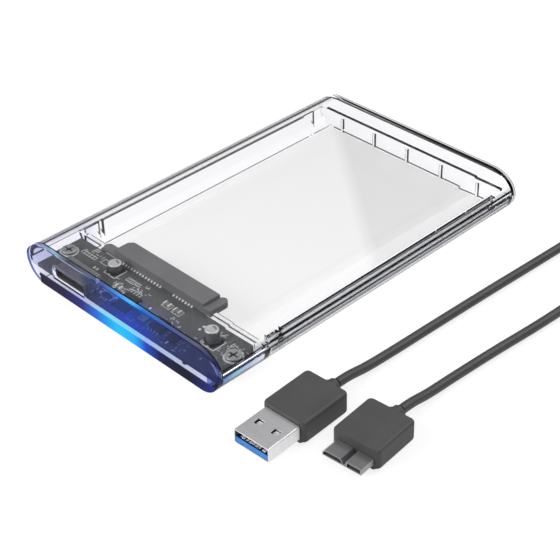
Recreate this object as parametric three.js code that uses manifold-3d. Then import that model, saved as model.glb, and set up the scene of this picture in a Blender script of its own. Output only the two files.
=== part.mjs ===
// A clear case for a 2.5-inch drive: a tray with its adapter board and a cover that slides off away from
// the port end, and the case's USB cable beside it. Millimetres, +Z up. X runs across the case, Y along it
// with the port end at -Y, and the origin is on the table under the middle of the case.
import * as THREE from "three";
import { mergeVertices } from "three/addons/utils/BufferGeometryUtils.js";
import Module from "manifold-3d";

const wasm = await Module();
wasm.setup();

// ---- the case ----
const caseLength = 125;
const caseWidth = 83.4;
const caseHeight = 13.7;
const wall = 1.5;
const splitHeight = 6.8; // the tray's rim on the long sides
const topRun = 9; // how far each rounded side reaches in over the top
const bottomRun = 7.1; // and in under the bottom
const slideGap = 0.3; // clearance between the tray and the sliding cover
const backWall = 1.2; // the cover's end wall
const coverLift = 0.2; // the cover's end wall stays this far off the table
const floorEdge = 6.5; // the tray's flat floor ends this far in from the case's side
const floorStep = 0.2; // and lies this far below the foot of each rounded side
const arcSteps = 10; // facets in a quarter turn of the rounded side

// ---- the tray's inner parts ----
const lipWidth = 1; // the upright lip along each side of the bay
const lipInset = 4.1; // from the case's side to the lip's inner face
const lipTop = 8.5;
const lipHeadWidth = 0.7; // how far the lip's head reaches out over the cover's hook
const lipHeadHeight = 0.5;
const lipFoot = 2;
const lipBackGap = 8; // from the case's back end to the lip's end
const lipLap = 0.8; // the left lip starts this far in front of the cross wall's back face
const rightLipGap = 0.6; // and the right lip this far behind it
const slitStart = 4.4; // a slit parts the lip's front end from the rest, this far behind the cross wall
const slitWidth = 1.4;
const hookGap = 0.35; // from the lip's upright to the cover's hook under its head
const hookFrontGap = 18; // from the case's front end to the hook's front end
const hookBackGap = 12;
const backCurb = 1; // the tray's low wall at the back of the bay
const curbTop = 7.6;
const curbInset = 0.5; // the raised part of the low wall stops this far inside the lips
const ribCount = 5;
const ribPitch = 14.4;
const ribWidth = 1;
const ribDepth = 0.7;
const ribTop = 6.4;
const ribOffset = -0.4; // the middle rib, from the case's centre line
const bulkhead = 1.6; // the cross wall between the board and the bay
const bulkheadTop = 6.3;
const bulkheadGap = 0.3; // from the board's back edge to the cross wall
const bulkheadStep = 0.6; // the cross wall's right end steps forwards by this, beside the board's corner
const bulkheadStepStart = 2.2; // from the board's side edge to that step
const webWidth = 0.6; // small webs that tie the lip to the side wall
const webTop = 6.5;
const webPlaces = [3.4, 6.2, 72.4, 86.4]; // on the right side only, behind the cross wall

// ---- the adapter board ----
const boardHeight = 3.8; // the board's underside above the table
const boardThickness = 1.2;
const boardDepth = 16;
const boardSideGap = 3.1; // from the case's side to the board's edge
const boardFrontGap = 0.5; // from the front wall to the board
const boardCorner = 2.8; // the clipped back corners
const seatGap = 0.1; // between the board and what it rests on, or what rests on it
const screwEdge = 3.1; // a board screw's centre, from the board's side edge
const screwBack = 7.1; // and from its back edge
const screwHeadDiameter = 4.8;
const screwHeadHeight = 0.9;
const screwDiameter = 1.7;
const screwHoleGap = 0.25; // clearance all round the screw's shank
const screwLength = 3;
const bossDiameter = 4.6;
const postDiameter = 2.2;
const postPlaces = [-31, 24.5]; // small posts under the board's front edge
const postFront = 2.2;

// ---- the drive connector on the board's back edge ----
const driveSocketLeft = -22.5;
const driveSocketWidth = 38.6;
const driveSocketDepth = 6.4;
const driveSocketHeight = 3.2;
const driveSocketLap = 3.1; // how much of it stands on the board's tongue
const driveSocketChamfer = 1.4;
const driveSlotHeight = 2;
const driveSlotDepth = 4.6;
const driveSlotSplit = 22.3; // the wall between the wide slot and the narrow one, from the left end
const driveSlotWall = 1.4;
const leftEar = 6.6; // the guide ears at both ends: width, height and reach
const leftEarHeight = 1.1;
const leftEarReach = 3.2;
const rightEar = 2.9;
const rightEarHeight = 2.1;
const rightEarReach = 7.4;
const earClearance = 0.6;

// ---- the port ----
const portCentre = -22;
const portWidth = 13.8;
const portHeight = 3.7;
const portDepth = 6;
const portRecess = 0.8; // the port's mouth behind the case's front face
const portShell = 0.3;
const portGap = 0.35; // clearance between the port and the window in the front wall
const portNotch = 7.3; // the wide side of the stepped port, from its left end
const tongueThickness = 0.8;
const tongueRecess = 0.9;

// ---- the plugs: [width, length, height] of each moulded grip ----
const gripA = [14.6, 17.5, 7];
const gripB = [14.8, 16, 6.5];
const gripCorner = 1.6;
const collarRadius = 2.6;
const collarLength = 3;
const shellA = [12, 4.5, 11.6]; // width, height, length in front of the grip
const shellB = [12.2, 1.9, 5.2];
const shellWall = 0.3;
const plugGap = 0.15; // between the pieces of a plug
const plugLift = 0.05; // under a plug lying on the table
const shellBBase = 1.9; // height of the small plug's shell above the table
const plugAPlace = [62.6, -59.5, 2.5]; // x, y of the grip's front face, and its turn in degrees
const plugBPlace = [82.4, -54, 5];

// ---- the cable ----
const cordDiameter = 2.8;
const cordSides = 8;
const cordStep = 7; // length of cord between two rings of the tube
const coilCentre = [81.8, 74];
const coilOuter = 18.7;
const coilInner = 12.5;
const coilBase = 0.9;
const coilTop = 6.6;
const tieWidth = 5;
const tieThickness = 0.6;
const tieGap = 0.3;
// The cord's centre line, by hand: straight out of each collar, down to the table, then to the coil.
const cordPathA = [
  [61.7, -38.6, 3.5],
  [61.5, -34, 3.1],
  [61.4, -27, 2],
  [61.5, -18, 1.5],
  [62.1, 0, 1.45],
  [63.1, 25, 1.45],
  [64.2, 48, 1.45],
  [64.8, 62.5, 1.5],
];
const cordPathB = [
  [80.7, -34.7, 3.25],
  [80.5, -30.5, 2.9],
  [80.4, -24, 1.9],
  [80.6, -14, 1.5],
  [81.5, 2, 1.45],
  [82.9, 20, 1.45],
  [83.6, 34, 1.5],
  [84.1, 43, 1.9],
  [85, 49, 2.8],
  [87.2, 54.7, 4],
];

// ---- worked out from the above ----
const halfLength = caseLength / 2;
const halfWidth = caseWidth / 2;
const frontInner = -halfLength + wall;
const coverFront = frontInner + slideGap;
const coverBackInner = halfLength - backWall;
const trayBack = coverBackInner - slideGap;
const lipInner = halfWidth - lipInset;
const lipOuter = lipInner + lipWidth;
const hookTop = lipTop - lipHeadHeight - slideGap;
const hookBase = splitHeight + slideGap;
const hookInner = lipOuter + hookGap;
const boardTop = boardHeight + boardThickness;
const boardHalf = halfWidth - boardSideGap;
const boardFront = frontInner + boardFrontGap;
const boardBack = boardFront + boardDepth;
const onBoard = boardTop + seatGap;
const socketFront = boardBack;
const socketBack = socketFront + driveSocketDepth;
const socketRight = driveSocketLeft + driveSocketWidth;
const bulkheadFront = boardBack + bulkheadGap;
const screwX = boardHalf - screwEdge;
const screwY = boardBack - screwBack;
const portFront = -halfLength + portRecess;

// ---- solids ----
const solid = (geometry) => {
  const bare = geometry.clone();
  bare.deleteAttribute("normal");
  bare.deleteAttribute("uv");
  const merged = mergeVertices(bare, 1e-4);
  return new wasm.Manifold(
    new wasm.Mesh({
      numProp: 3,
      vertProperties: new Float32Array(merged.attributes.position.array),
      triVerts: new Uint32Array(merged.index.array),
    }),
  );
};

const geometryOf = (body) => {
  const mesh = body.getMesh();
  const geometry = new THREE.BufferGeometry();
  geometry.setAttribute("position", new THREE.BufferAttribute(mesh.vertProperties, 3));
  geometry.setIndex(new THREE.BufferAttribute(mesh.triVerts, 1));
  geometry.computeVertexNormals();
  return geometry;
};

const join = (first, ...others) => others.reduce((sum, body) => sum.add(body), first);
const cut = (first, ...others) => others.reduce((rest, body) => rest.subtract(body), first);

// A block between two corners.
const block = (x0, x1, y0, y1, z0, z1) =>
  solid(
    new THREE.BoxGeometry(x1 - x0, y1 - y0, z1 - z0).translate((x0 + x1) / 2, (y0 + y1) / 2, (z0 + z1) / 2),
  );

// An upright cylinder from one height to another.
const post = (x, y, z0, z1, radius, sides = 24) =>
  solid(
    new THREE.CylinderGeometry(radius, radius, z1 - z0, sides)
      .rotateX(Math.PI / 2)
      .translate(x, y, (z0 + z1) / 2),
  );

// A cylinder lying along Y.
const rod = (x, z, y0, y1, radiusFront, radiusBack = radiusFront, sides = 24) =>
  solid(new THREE.CylinderGeometry(radiusBack, radiusFront, y1 - y0, sides).translate(x, (y0 + y1) / 2, z));

// An outline in X and Z, pulled along Y from y0 to y1.
const alongY = (outline, y0, y1, holes = []) => {
  const shape = new THREE.Shape(outline);
  shape.holes = holes.map((hole) => new THREE.Path(hole));
  const geometry = new THREE.ExtrudeGeometry(shape, { depth: y1 - y0, bevelEnabled: false });
  return solid(geometry.rotateX(Math.PI / 2).translate(0, y1, 0));
};

// An outline in X and Y, pulled up from z0 to z1.
const upwards = (outline, z0, z1) => {
  const shape = new THREE.Shape(outline);
  const geometry = new THREE.ExtrudeGeometry(shape, { depth: z1 - z0, bevelEnabled: false });
  return solid(geometry.translate(0, 0, z0));
};

const points = (pairs) => pairs.map(([x, y]) => new THREE.Vector2(x, y));

// A stretch of an ellipse, angles in degrees.
const arc = (cx, cy, rx, ry, from, to, steps) =>
  Array.from({ length: steps + 1 }, (_, i) => {
    const angle = THREE.MathUtils.degToRad(from + ((to - from) * i) / steps);
    return new THREE.Vector2(cx + rx * Math.cos(angle), cy + ry * Math.sin(angle));
  });

// A rectangle with round corners about a centre.
const roundRect = (cx, cy, width, height, radius, steps = 4) => {
  const x = width / 2 - radius;
  const y = height / 2 - radius;
  return [
    ...arc(cx + x, cy - y, radius, radius, -90, 0, steps),
    ...arc(cx + x, cy + y, radius, radius, 0, 90, steps),
    ...arc(cx - x, cy + y, radius, radius, 90, 180, steps),
    ...arc(cx - x, cy - y, radius, radius, 180, 270, steps),
  ];
};

// The case's section, set in by an amount: flat top and bottom with rounded sides. The rise lifts its bottom.
const caseSection = (inset, rise = 0) => {
  const bottomX = halfWidth - bottomRun;
  const topX = halfWidth - topRun;
  const right = [
    ...arc(bottomX, splitHeight, bottomRun - inset, splitHeight - inset - rise, -90, 0, arcSteps),
    ...arc(topX, splitHeight, topRun - inset, caseHeight - splitHeight - inset, 0, 90, arcSteps).slice(1),
  ];
  const left = right.map((p) => new THREE.Vector2(-p.x, p.y)).reverse();
  return [...right, ...left];
};

const below = (z) => block(-halfWidth - 1, halfWidth + 1, -halfLength - 1, halfLength + 1, -1, z);
const above = (z) => block(-halfWidth - 1, halfWidth + 1, -halfLength - 1, halfLength + 1, z, caseHeight + 1);
const mirrored = (body) => body.mirror([1, 0, 0]);

// ---- finishes ----
const finish = (color, roughness, metalness, extra = {}) =>
  new THREE.MeshStandardMaterial({ color, roughness, metalness, ...extra });
const finishes = {
  clear: finish(0xf2f5f8, 0.06, 0, { transparent: true, opacity: 0.3 }),
  board: finish(0x4b4f55, 0.55, 0),
  darkPlastic: finish(0x5b5b5d, 0.6, 0),
  blackPlastic: finish(0x1d1e22, 0.5, 0),
  steel: finish(0xb9bbbe, 0.3, 1),
  brightCan: finish(0xd5d6d8, 0.35, 1),
  ceramic: finish(0xa89a86, 0.5, 0),
  led: finish(0xe9eef5, 0.3, 0),
  bluePlastic: finish(0x2b86dd, 0.45, 0),
  grip: finish(0x4a4a4b, 0.65, 0),
  cord: finish(0x464646, 0.6, 0),
  tie: finish(0x2a2a2b, 0.7, 0),
};

const hardDrive = new THREE.Group();
const addMesh = (group, name, body, material) => {
  const mesh = new THREE.Mesh(geometryOf(body), material);
  mesh.name = name;
  group.add(mesh);
  return mesh;
};

// ---- tray ----
const lipSection = () => {
  const headBase = lipTop - lipHeadHeight;
  return points([
    [lipInner, lipFoot],
    [lipOuter, lipFoot],
    [lipOuter, headBase],
    [lipOuter + lipHeadWidth, headBase],
    [lipOuter + lipHeadWidth, lipTop],
    [lipInner, lipTop],
  ]);
};

const makeTray = () => {
  const section = caseSection(0);
  const hollow = alongY(caseSection(wall, floorStep), frontInner, trayBack + 1);
  const floorHalf = halfWidth - floorEdge;
  const floorCut = block(-floorHalf, floorHalf, frontInner, trayBack + 1, wall, splitHeight);
  const shell = alongY(section, -halfLength, trayBack).subtract(hollow.add(floorCut));
  const frontWall = alongY(section, -halfLength, frontInner);
  const curbFront = trayBack - backCurb;
  const curb = alongY(section, curbFront, trayBack);
  const curbHalf = lipInner - curbInset;
  const raisedCurb = block(-curbHalf, curbHalf, curbFront, trayBack, wall, curbTop);

  // The outside of the tray, which every inner part is trimmed to.
  const envelope = alongY(section, -halfLength, trayBack);
  const bulkheadBack = bulkheadFront + bulkhead;
  const slit = block(
    lipInner - 1,
    halfWidth,
    bulkheadBack + slitStart,
    bulkheadBack + slitStart + slitWidth,
    lipFoot + lipWidth,
    lipTop + 1,
  );
  const lip = (front) => alongY(lipSection(), front, halfLength - lipBackGap).subtract(slit);
  const rightLip = lip(bulkheadBack + rightLipGap);
  const leftLip = mirrored(lip(bulkheadBack - lipLap));
  const web = (back) =>
    block(
      lipOuter - lipWidth / 2,
      halfWidth,
      bulkheadBack + back,
      bulkheadBack + back + webWidth,
      lipFoot,
      webTop,
    );
  const webs = webPlaces.map(web);
  const crossWall = join(
    block(-halfWidth, halfWidth, bulkheadFront, bulkheadBack, wall / 2, bulkheadTop),
    block(
      boardHalf - bulkheadStepStart,
      halfWidth,
      bulkheadFront - bulkheadStep,
      bulkheadBack - bulkheadStep,
      wall / 2,
      bulkheadTop,
    ),
  );
  const socketBay = block(
    driveSocketLeft - leftEar - earClearance,
    socketRight + rightEar + earClearance,
    bulkheadFront - bulkheadStep - 1,
    bulkheadBack + 1,
    wall,
    bulkheadTop + 1,
  );
  const ribs = Array.from({ length: ribCount }, (_, i) => {
    const x = ribOffset + (i - (ribCount - 1) / 2) * ribPitch;
    return block(x - ribWidth / 2, x + ribWidth / 2, curbFront - ribDepth, trayBack, wall / 2, ribTop);
  });
  const boardSeat = boardHeight - seatGap;
  const bosses = [-screwX, screwX].map((x) => post(x, screwY, wall / 2, boardSeat, bossDiameter / 2));
  const postY = boardFront + postFront;
  const posts = postPlaces.map((x) => post(x, postY, wall / 2, boardSeat, postDiameter / 2, 16));
  const inner = join(rightLip, leftLip, ...webs)
    .add(crossWall.subtract(socketBay))
    .add(join(...ribs, ...bosses, ...posts))
    .intersect(envelope);

  const screwBores = [-screwX, screwX].map((x) =>
    post(x, screwY, boardTop - screwLength - screwHoleGap, boardTop, screwDiameter / 2 + screwHoleGap, 16),
  );
  const window = block(
    portCentre - portWidth / 2 - portGap,
    portCentre + portWidth / 2 + portGap,
    -halfLength - 1,
    frontInner + 1,
    onBoard - portGap,
    onBoard + portHeight + portGap,
  );
  const low = shell.intersect(below(splitHeight));
  const tray = join(low, frontWall, curb.intersect(below(splitHeight)), raisedCurb, inner);
  return cut(tray, window, ...screwBores);
};
addMesh(hardDrive, "bottom_tray", makeTray(), finishes.clear);

// ---- cover ----
const makeCover = () => {
  const section = caseSection(0);
  const shell = alongY(section, coverFront, halfLength).subtract(
    alongY(caseSection(wall), coverFront - 1, coverBackInner),
  );
  const sides = shell.intersect(above(hookBase));
  const endWall = alongY(section, coverBackInner, halfLength).intersect(above(coverLift));
  const hook = block(
    hookInner,
    halfWidth - wall / 2,
    -halfLength + hookFrontGap,
    halfLength - hookBackGap,
    hookBase,
    hookTop,
  );
  return join(sides, endWall, hook, mirrored(hook));
};
const coverSlide = new THREE.Group();
hardDrive.add(coverSlide);
addMesh(coverSlide, "top_cover", makeCover(), finishes.clear);

// ---- board ----
const makeBoard = () => {
  const tongueBack = socketFront + driveSocketLap;
  const outline = points([
    [-boardHalf, boardFront],
    [boardHalf, boardFront],
    [boardHalf, boardBack - boardCorner],
    [boardHalf - boardCorner, boardBack],
    [socketRight, boardBack],
    [socketRight, tongueBack],
    [driveSocketLeft, tongueBack],
    [driveSocketLeft, boardBack],
    [-boardHalf, boardBack],
  ]);
  const holes = [-screwX, screwX].map((x) =>
    post(x, screwY, boardHeight - 1, boardTop + 1, screwDiameter / 2 + screwHoleGap, 16),
  );
  return cut(upwards(outline, boardHeight, boardTop), ...holes);
};
addMesh(hardDrive, "adapter_board", makeBoard(), finishes.board);

// A cross-head screw with its shank down through the board into a boss.
const makeScrew = (x) => {
  const headTop = onBoard + screwHeadHeight;
  const slotBase = onBoard + screwHeadHeight / 2;
  const slotHalf = 0.35;
  const slotReach = 1.5;
  const slot = (reachX, reachY) =>
    block(x - reachX, x + reachX, screwY - reachY, screwY + reachY, slotBase, headTop + 1);
  const head = post(x, screwY, onBoard, headTop, screwHeadDiameter / 2);
  const shank = post(x, screwY, boardTop - screwLength, slotBase, screwDiameter / 2, 12);
  return cut(head.add(shank), slot(slotReach, slotHalf), slot(slotHalf, slotReach));
};
addMesh(hardDrive, "board_screw_left", makeScrew(-screwX), finishes.steel);
addMesh(hardDrive, "board_screw_right", makeScrew(screwX), finishes.steel);

// ---- drive connector ----
const makeDriveSocket = () => {
  const top = onBoard + driveSocketHeight;
  const body = upwards(
    points([
      [driveSocketLeft, socketFront],
      [socketRight, socketFront],
      [socketRight, socketBack],
      [driveSocketLeft + driveSocketChamfer, socketBack],
      [driveSocketLeft, socketBack - driveSocketChamfer],
    ]),
    onBoard,
    top,
  );
  // The ears reach a little way into the body, so that they join it.
  const earRoot = 1;
  const leftTip = leftEarReach / 2;
  const leftRoot = driveSocketLeft + earRoot;
  const left = upwards(
    [
      new THREE.Vector2(leftRoot, socketFront),
      new THREE.Vector2(leftRoot, socketFront + leftEarReach),
      ...arc(driveSocketLeft - leftEar + leftTip, socketFront + leftTip, leftTip, leftTip, 90, 270, 8),
    ],
    onBoard,
    onBoard + leftEarHeight,
  );
  const rightTip = rightEar / 2;
  const rightX = socketRight + rightTip;
  const rightTipY = socketFront + rightEarReach - rightTip;
  const right = upwards(
    [
      new THREE.Vector2(socketRight - earRoot, socketFront),
      new THREE.Vector2(socketRight + rightEar, socketFront),
      ...arc(rightX, rightTipY, rightTip, rightTip, 0, 180, 8),
      new THREE.Vector2(socketRight - earRoot, rightTipY),
    ],
    onBoard,
    onBoard + rightEarHeight,
  );
  const slotBase = onBoard + (driveSocketHeight - driveSlotHeight) / 2;
  const slot = (x0, x1) =>
    block(x0, x1, socketBack - driveSlotDepth, socketBack + 1, slotBase, slotBase + driveSlotHeight);
  const split = driveSocketLeft + driveSlotSplit;
  return cut(
    join(body, left, right),
    slot(driveSocketLeft + driveSlotWall, split - driveSlotWall / 2),
    slot(split + driveSlotWall / 2, socketRight - driveSlotWall),
  );
};
addMesh(hardDrive, "drive_connector", makeDriveSocket(), finishes.darkPlastic);

// ---- USB port ----
const makePort = () => {
  const x0 = portCentre - portWidth / 2;
  const x1 = portCentre + portWidth / 2;
  const z0 = onBoard;
  const z1 = onBoard + portHeight;
  const bevel = 0.8;
  const outline = (inset) =>
    points([
      [x0 + bevel + inset / 2, z0 + inset],
      [x1 - inset, z0 + inset],
      [x1 - inset, z1 - inset],
      [x0 + inset, z1 - inset],
      [x0 + inset, z0 + bevel + inset / 2],
    ]);
  return alongY(outline(0), portFront, portFront + portDepth).subtract(
    alongY(outline(portShell), portFront - 1, portFront + portDepth + 1),
  );
};
addMesh(hardDrive, "usb_port_shell", makePort(), finishes.steel);

// The insulator fills the back of the port, with two tongues reaching to its mouth.
const makePortTongue = () => {
  const gap = portShell + plugGap;
  const bevelRoom = 0.8;
  const x0 = portCentre - portWidth / 2 + gap;
  const x1 = portCentre + portWidth / 2 - gap;
  const z0 = onBoard + gap;
  const z1 = onBoard + portHeight - gap;
  const middle = (z0 + z1) / 2;
  const backY = portFront + portDepth;
  const split = x0 + portNotch;
  const tongueFront = portFront + tongueRecess;
  const half = tongueThickness / 2;
  const tongue = (left, right) => block(left, right, tongueFront, backY, middle - half, middle + half);
  return join(
    block(x0 + bevelRoom, x1, backY - 1.5, backY, z0, z1),
    tongue(x0 + bevelRoom, split - 0.6),
    tongue(split + 0.9, x1 - 0.6),
  );
};
addMesh(hardDrive, "usb_port_tongue", makePortTongue(), finishes.blackPlastic);

// ---- parts soldered to the board ----
// name, finish, x, distance behind the board's front edge, width, depth, height
const chips = [
  ["bridge_chip", "blackPlastic", -3.4, 4.6, 6, 6, 0.9],
  ["memory_chip", "blackPlastic", 11.3, 4.3, 4.9, 3.9, 1.2],
  ["voltage_regulator", "blackPlastic", -10.4, 3.4, 3, 1.6, 1],
  ["timing_crystal", "brightCan", 5.2, 3.6, 3.2, 2.5, 0.8],
  ["power_inductor", "blackPlastic", 18.4, 3.6, 3, 3, 1.5],
  ["ceramic_capacitor_1", "ceramic", 6, 11.5, 2.4, 1.5, 0.8],
  ["ceramic_capacitor_2", "ceramic", 10.4, 11.4, 2.4, 1.5, 0.8],
  ["ceramic_capacitor_3", "ceramic", -10.4, 7.4, 2.2, 1.4, 0.8],
  ["activity_light", "led", 2.2, 1.1, 3, 1.2, 0.9],
];
for (const [name, finishName, x, back, width, depth, height] of chips) {
  const y = boardFront + back;
  const body = block(x - width / 2, x + width / 2, y - depth / 2, y + depth / 2, onBoard, onBoard + height);
  addMesh(hardDrive, name, body, finishes[finishName]);
}

// Two round capacitors in metal cans, each on a square foot with two clipped corners.
const canDiameter = 4;
const canFoot = 4.3;
const canFootHeight = 0.9;
// x, distance behind the board's front edge, height
const cans = { can_capacitor_left: [-17.6, 11.9, 3], can_capacitor_right: [26.9, 9.5, 4.1] };
for (const [name, [x, back, height]] of Object.entries(cans)) {
  const y = boardFront + back;
  const half = canFoot / 2;
  const clip = half / 2;
  const foot = upwards(
    points([
      [x - half + clip, y - half],
      [x + half - clip, y - half],
      [x + half, y - half + clip],
      [x + half, y + half],
      [x - half, y + half],
      [x - half, y - half + clip],
    ]),
    onBoard,
    onBoard + canFootHeight,
  );
  const can = post(x, y, onBoard + canFootHeight / 2, onBoard + height, canDiameter / 2, 24);
  addMesh(hardDrive, name, foot.add(can), finishes.brightCan);
}

// ---- plugs ----
// A plug lies along Y with the middle of its grip's front face at the group's origin and its nose to -Y.
const plugGroup = ([x, y, turn]) => {
  const group = new THREE.Group();
  group.position.set(x, y, plugLift);
  group.rotation.z = THREE.MathUtils.degToRad(turn);
  hardDrive.add(group);
  return group;
};

const makeGrip = ([width, length, height]) => {
  const middle = height / 2;
  const body = alongY(roundRect(0, middle, width, height, gripCorner), 0, length);
  const plan = upwards(roundRect(0, length / 2, width, length, gripCorner), -1, height + 1);
  const collar = rod(0, middle, length - 1, length + collarLength, collarRadius, cordDiameter / 2 + 0.5);
  return body.intersect(plan).add(collar);
};

const plugA = plugGroup(plugAPlace);
addMesh(plugA, "usb_plug_grip", makeGrip(gripA), finishes.grip);

const middleA = gripA[2] / 2;
const makeShellA = () => {
  const [width, height, length] = shellA;
  const tube = alongY(roundRect(0, middleA, width, height, 0.5, 2), -length, -plugGap, [
    roundRect(0, middleA, width - 2 * shellWall, height - 2 * shellWall, 0.3, 2),
  ]);
  const windowSize = 2.2;
  const windowX = 2.9;
  const windowY = -5.6;
  const latch = (x) =>
    block(x - windowSize / 2, x + windowSize / 2, windowY - 1, windowY + 1, middleA + 1, middleA + height);
  return cut(tube, latch(-windowX), latch(windowX));
};
addMesh(plugA, "usb_plug_shell", makeShellA(), finishes.steel);

const insulatorA = () => {
  const [width, height, length] = shellA;
  const half = width / 2 - shellWall - plugGap;
  const base = middleA - height / 2 + shellWall + plugGap;
  return block(-half, half, -length + plugGap, -2 * plugGap, base, middleA - plugGap);
};
addMesh(plugA, "usb_plug_insulator", insulatorA(), finishes.bluePlastic);

const plugB = plugGroup(plugBPlace);
addMesh(plugB, "micro_plug_grip", makeGrip(gripB), finishes.grip);

// The small plug's nose: a wide part with sloping shoulders, and a square part beside it on one base.
const noseSplit = 0.7;
const noseBridge = 0.7;
const shoulder = 0.9;
const noseOutline = (inset) => {
  const [width, height] = shellB;
  const half = width / 2;
  const top = shellBBase + height - inset;
  return {
    wide: points([
      [-half + inset, shellBBase + inset],
      [noseSplit - inset, shellBBase + inset],
      [noseSplit - shoulder - inset, top],
      [-half + shoulder + inset, top],
      [-half + inset, shellBBase + height / 2],
    ]),
    square: points([
      [noseSplit + noseBridge + inset, shellBBase + inset],
      [half - inset, shellBBase + inset],
      [half - inset, top],
      [noseSplit + noseBridge + inset, top],
    ]),
  };
};
const makeShellB = () => {
  const length = shellB[2];
  const outer = noseOutline(0);
  const holes = noseOutline(shellWall);
  const bridge = block(
    noseSplit - shoulder,
    noseSplit + noseBridge + shellWall / 2,
    -length,
    -plugGap,
    shellBBase,
    shellBBase + shellWall,
  );
  const body = join(alongY(outer.wide, -length, -plugGap), alongY(outer.square, -length, -plugGap), bridge);
  return cut(body, alongY(holes.wide, -length - 1, 1), alongY(holes.square, -length - 1, 1));
};
addMesh(plugB, "micro_plug_shell", makeShellB(), finishes.steel);

const tongueB = (side) => {
  const outline = noseOutline(shellWall + plugGap)[side];
  const bottom = shellBBase + shellWall + plugGap;
  const slab = alongY(outline, -shellB[2] + 0.5, -2 * plugGap);
  return slab.intersect(block(-shellB[0], shellB[0], -shellB[2], 0, bottom, bottom + 0.6));
};
addMesh(plugB, "micro_plug_tongue_wide", tongueB("wide"), finishes.blackPlastic);
addMesh(plugB, "micro_plug_tongue_square", tongueB("square"), finishes.blackPlastic);

// ---- cable ----
const makeCord = (path) => {
  const curve = new THREE.CatmullRomCurve3(path.map(([x, y, z]) => new THREE.Vector3(x, y, z)));
  const radius = cordDiameter / 2;
  const section = new THREE.Shape(arc(0, 0, radius, radius, 0, 360, cordSides).slice(0, cordSides));
  const steps = Math.ceil(curve.getLength() / cordStep);
  return solid(new THREE.ExtrudeGeometry(section, { extrudePath: curve, steps, bevelEnabled: false }));
};
addMesh(hardDrive, "cable_to_plug", makeCord(cordPathA), finishes.cord);
addMesh(hardDrive, "cable_to_micro_plug", makeCord(cordPathB), finishes.cord);

const makeCoil = () => {
  const ring = points([
    [coilInner, coilBase],
    [coilOuter, coilBase],
    [coilOuter, coilTop],
    [coilInner, coilTop],
    [coilInner, coilBase],
  ]);
  const [x, y] = coilCentre;
  return solid(new THREE.LatheGeometry(ring, 40).rotateX(Math.PI / 2).translate(x, y, 0));
};
addMesh(hardDrive, "cable_coil", makeCoil(), finishes.cord);

// A flat band round all the turns, on the far side of the coil.
const makeTie = () => {
  const [x, y] = coilCentre;
  const band = (grow, halfWide) =>
    block(
      x - halfWide,
      x + halfWide,
      y + coilInner - tieGap - grow,
      y + coilOuter + tieGap + grow,
      coilBase - tieGap - grow,
      coilTop + tieGap + grow,
    );
  return band(tieThickness - 0.05, tieWidth / 2).subtract(band(0, tieWidth));
};
addMesh(hardDrive, "cable_tie", makeTie(), finishes.tie);

export default hardDrive;
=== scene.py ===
import math
import random

import bmesh
import bpy
from mathutils import Matrix, Vector


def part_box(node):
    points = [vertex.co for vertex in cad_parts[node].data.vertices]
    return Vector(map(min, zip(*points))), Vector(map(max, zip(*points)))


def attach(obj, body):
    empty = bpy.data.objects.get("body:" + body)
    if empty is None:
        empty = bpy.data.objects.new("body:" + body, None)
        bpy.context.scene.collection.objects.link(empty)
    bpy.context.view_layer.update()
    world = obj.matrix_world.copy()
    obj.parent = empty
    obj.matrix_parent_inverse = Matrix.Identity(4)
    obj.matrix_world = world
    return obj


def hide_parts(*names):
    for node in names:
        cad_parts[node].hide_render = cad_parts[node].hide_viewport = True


# A clear case for a slim drive: adapter board, drive connector, lit port end, and its data cable beside it.
# Metres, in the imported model's frame: X across the case, Y along it with the port end at -Y, Z up.
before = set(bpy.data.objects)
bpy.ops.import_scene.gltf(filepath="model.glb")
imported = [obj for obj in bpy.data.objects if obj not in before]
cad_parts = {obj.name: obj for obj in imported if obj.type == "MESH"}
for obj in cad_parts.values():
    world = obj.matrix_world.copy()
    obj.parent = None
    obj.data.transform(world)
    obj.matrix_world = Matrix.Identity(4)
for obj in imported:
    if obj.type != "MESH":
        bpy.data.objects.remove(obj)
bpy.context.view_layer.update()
mm = 0.001
hair = 0.004 * mm  # what lies closer than this counts as level
caseBody = "case_base"
coverBody = "sliding_cover"


def deselect():
    if bpy.context.object and bpy.context.object.mode != "OBJECT":
        bpy.ops.object.mode_set(mode="OBJECT")
    bpy.ops.object.select_all(action="DESELECT")


def choose(piece):
    deselect()
    piece.select_set(True)
    bpy.context.view_layer.objects.active = piece


def settle(piece, name):  # the place goes into the mesh, and the object stands at the origin
    choose(piece)
    piece.name = name
    piece.data.name = name
    bpy.ops.object.transform_apply(location=True, rotation=True, scale=True)
    return piece


def pick(piece, kind, test):  # edit mode, with only the faces, edges or vertices that pass the test selected
    choose(piece)
    bpy.ops.object.mode_set(mode="EDIT")
    bpy.ops.mesh.select_mode(type=kind)
    bpy.ops.mesh.select_all(action="DESELECT")
    shape = bmesh.from_edit_mesh(piece.data)
    items = {"FACE": shape.faces, "EDGE": shape.edges, "VERT": shape.verts}[kind]
    for item in items:
        if test(item):
            item.select_set(True)
    shape.select_flush_mode()
    bmesh.update_edit_mesh(piece.data)


def finishEdit():
    bpy.ops.object.mode_set(mode="OBJECT")


def modified(piece, kind, **settings):
    choose(piece)
    modifier = piece.modifiers.new(kind.lower(), kind)
    for key, value in settings.items():
        setattr(modifier, key, value)
    bpy.ops.object.modifier_apply(modifier=modifier.name)
    return piece


def rounded(piece, width, segments=3, angle=35):
    return modified(
        piece,
        "BEVEL",
        width=width,
        segments=segments,
        limit_method="ANGLE",
        angle_limit=math.radians(angle),
        harden_normals=False,
    )


def smooth(piece, angle=32, flatFaces=False):  # flatFaces keeps broad faces flat up to their rounded edges
    choose(piece)
    bpy.ops.object.shade_smooth_by_angle(angle=math.radians(angle))
    if flatFaces:
        modified(piece, "WEIGHTED_NORMAL", mode="FACE_AREA", weight=50, keep_sharp=True)
    return piece


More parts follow.
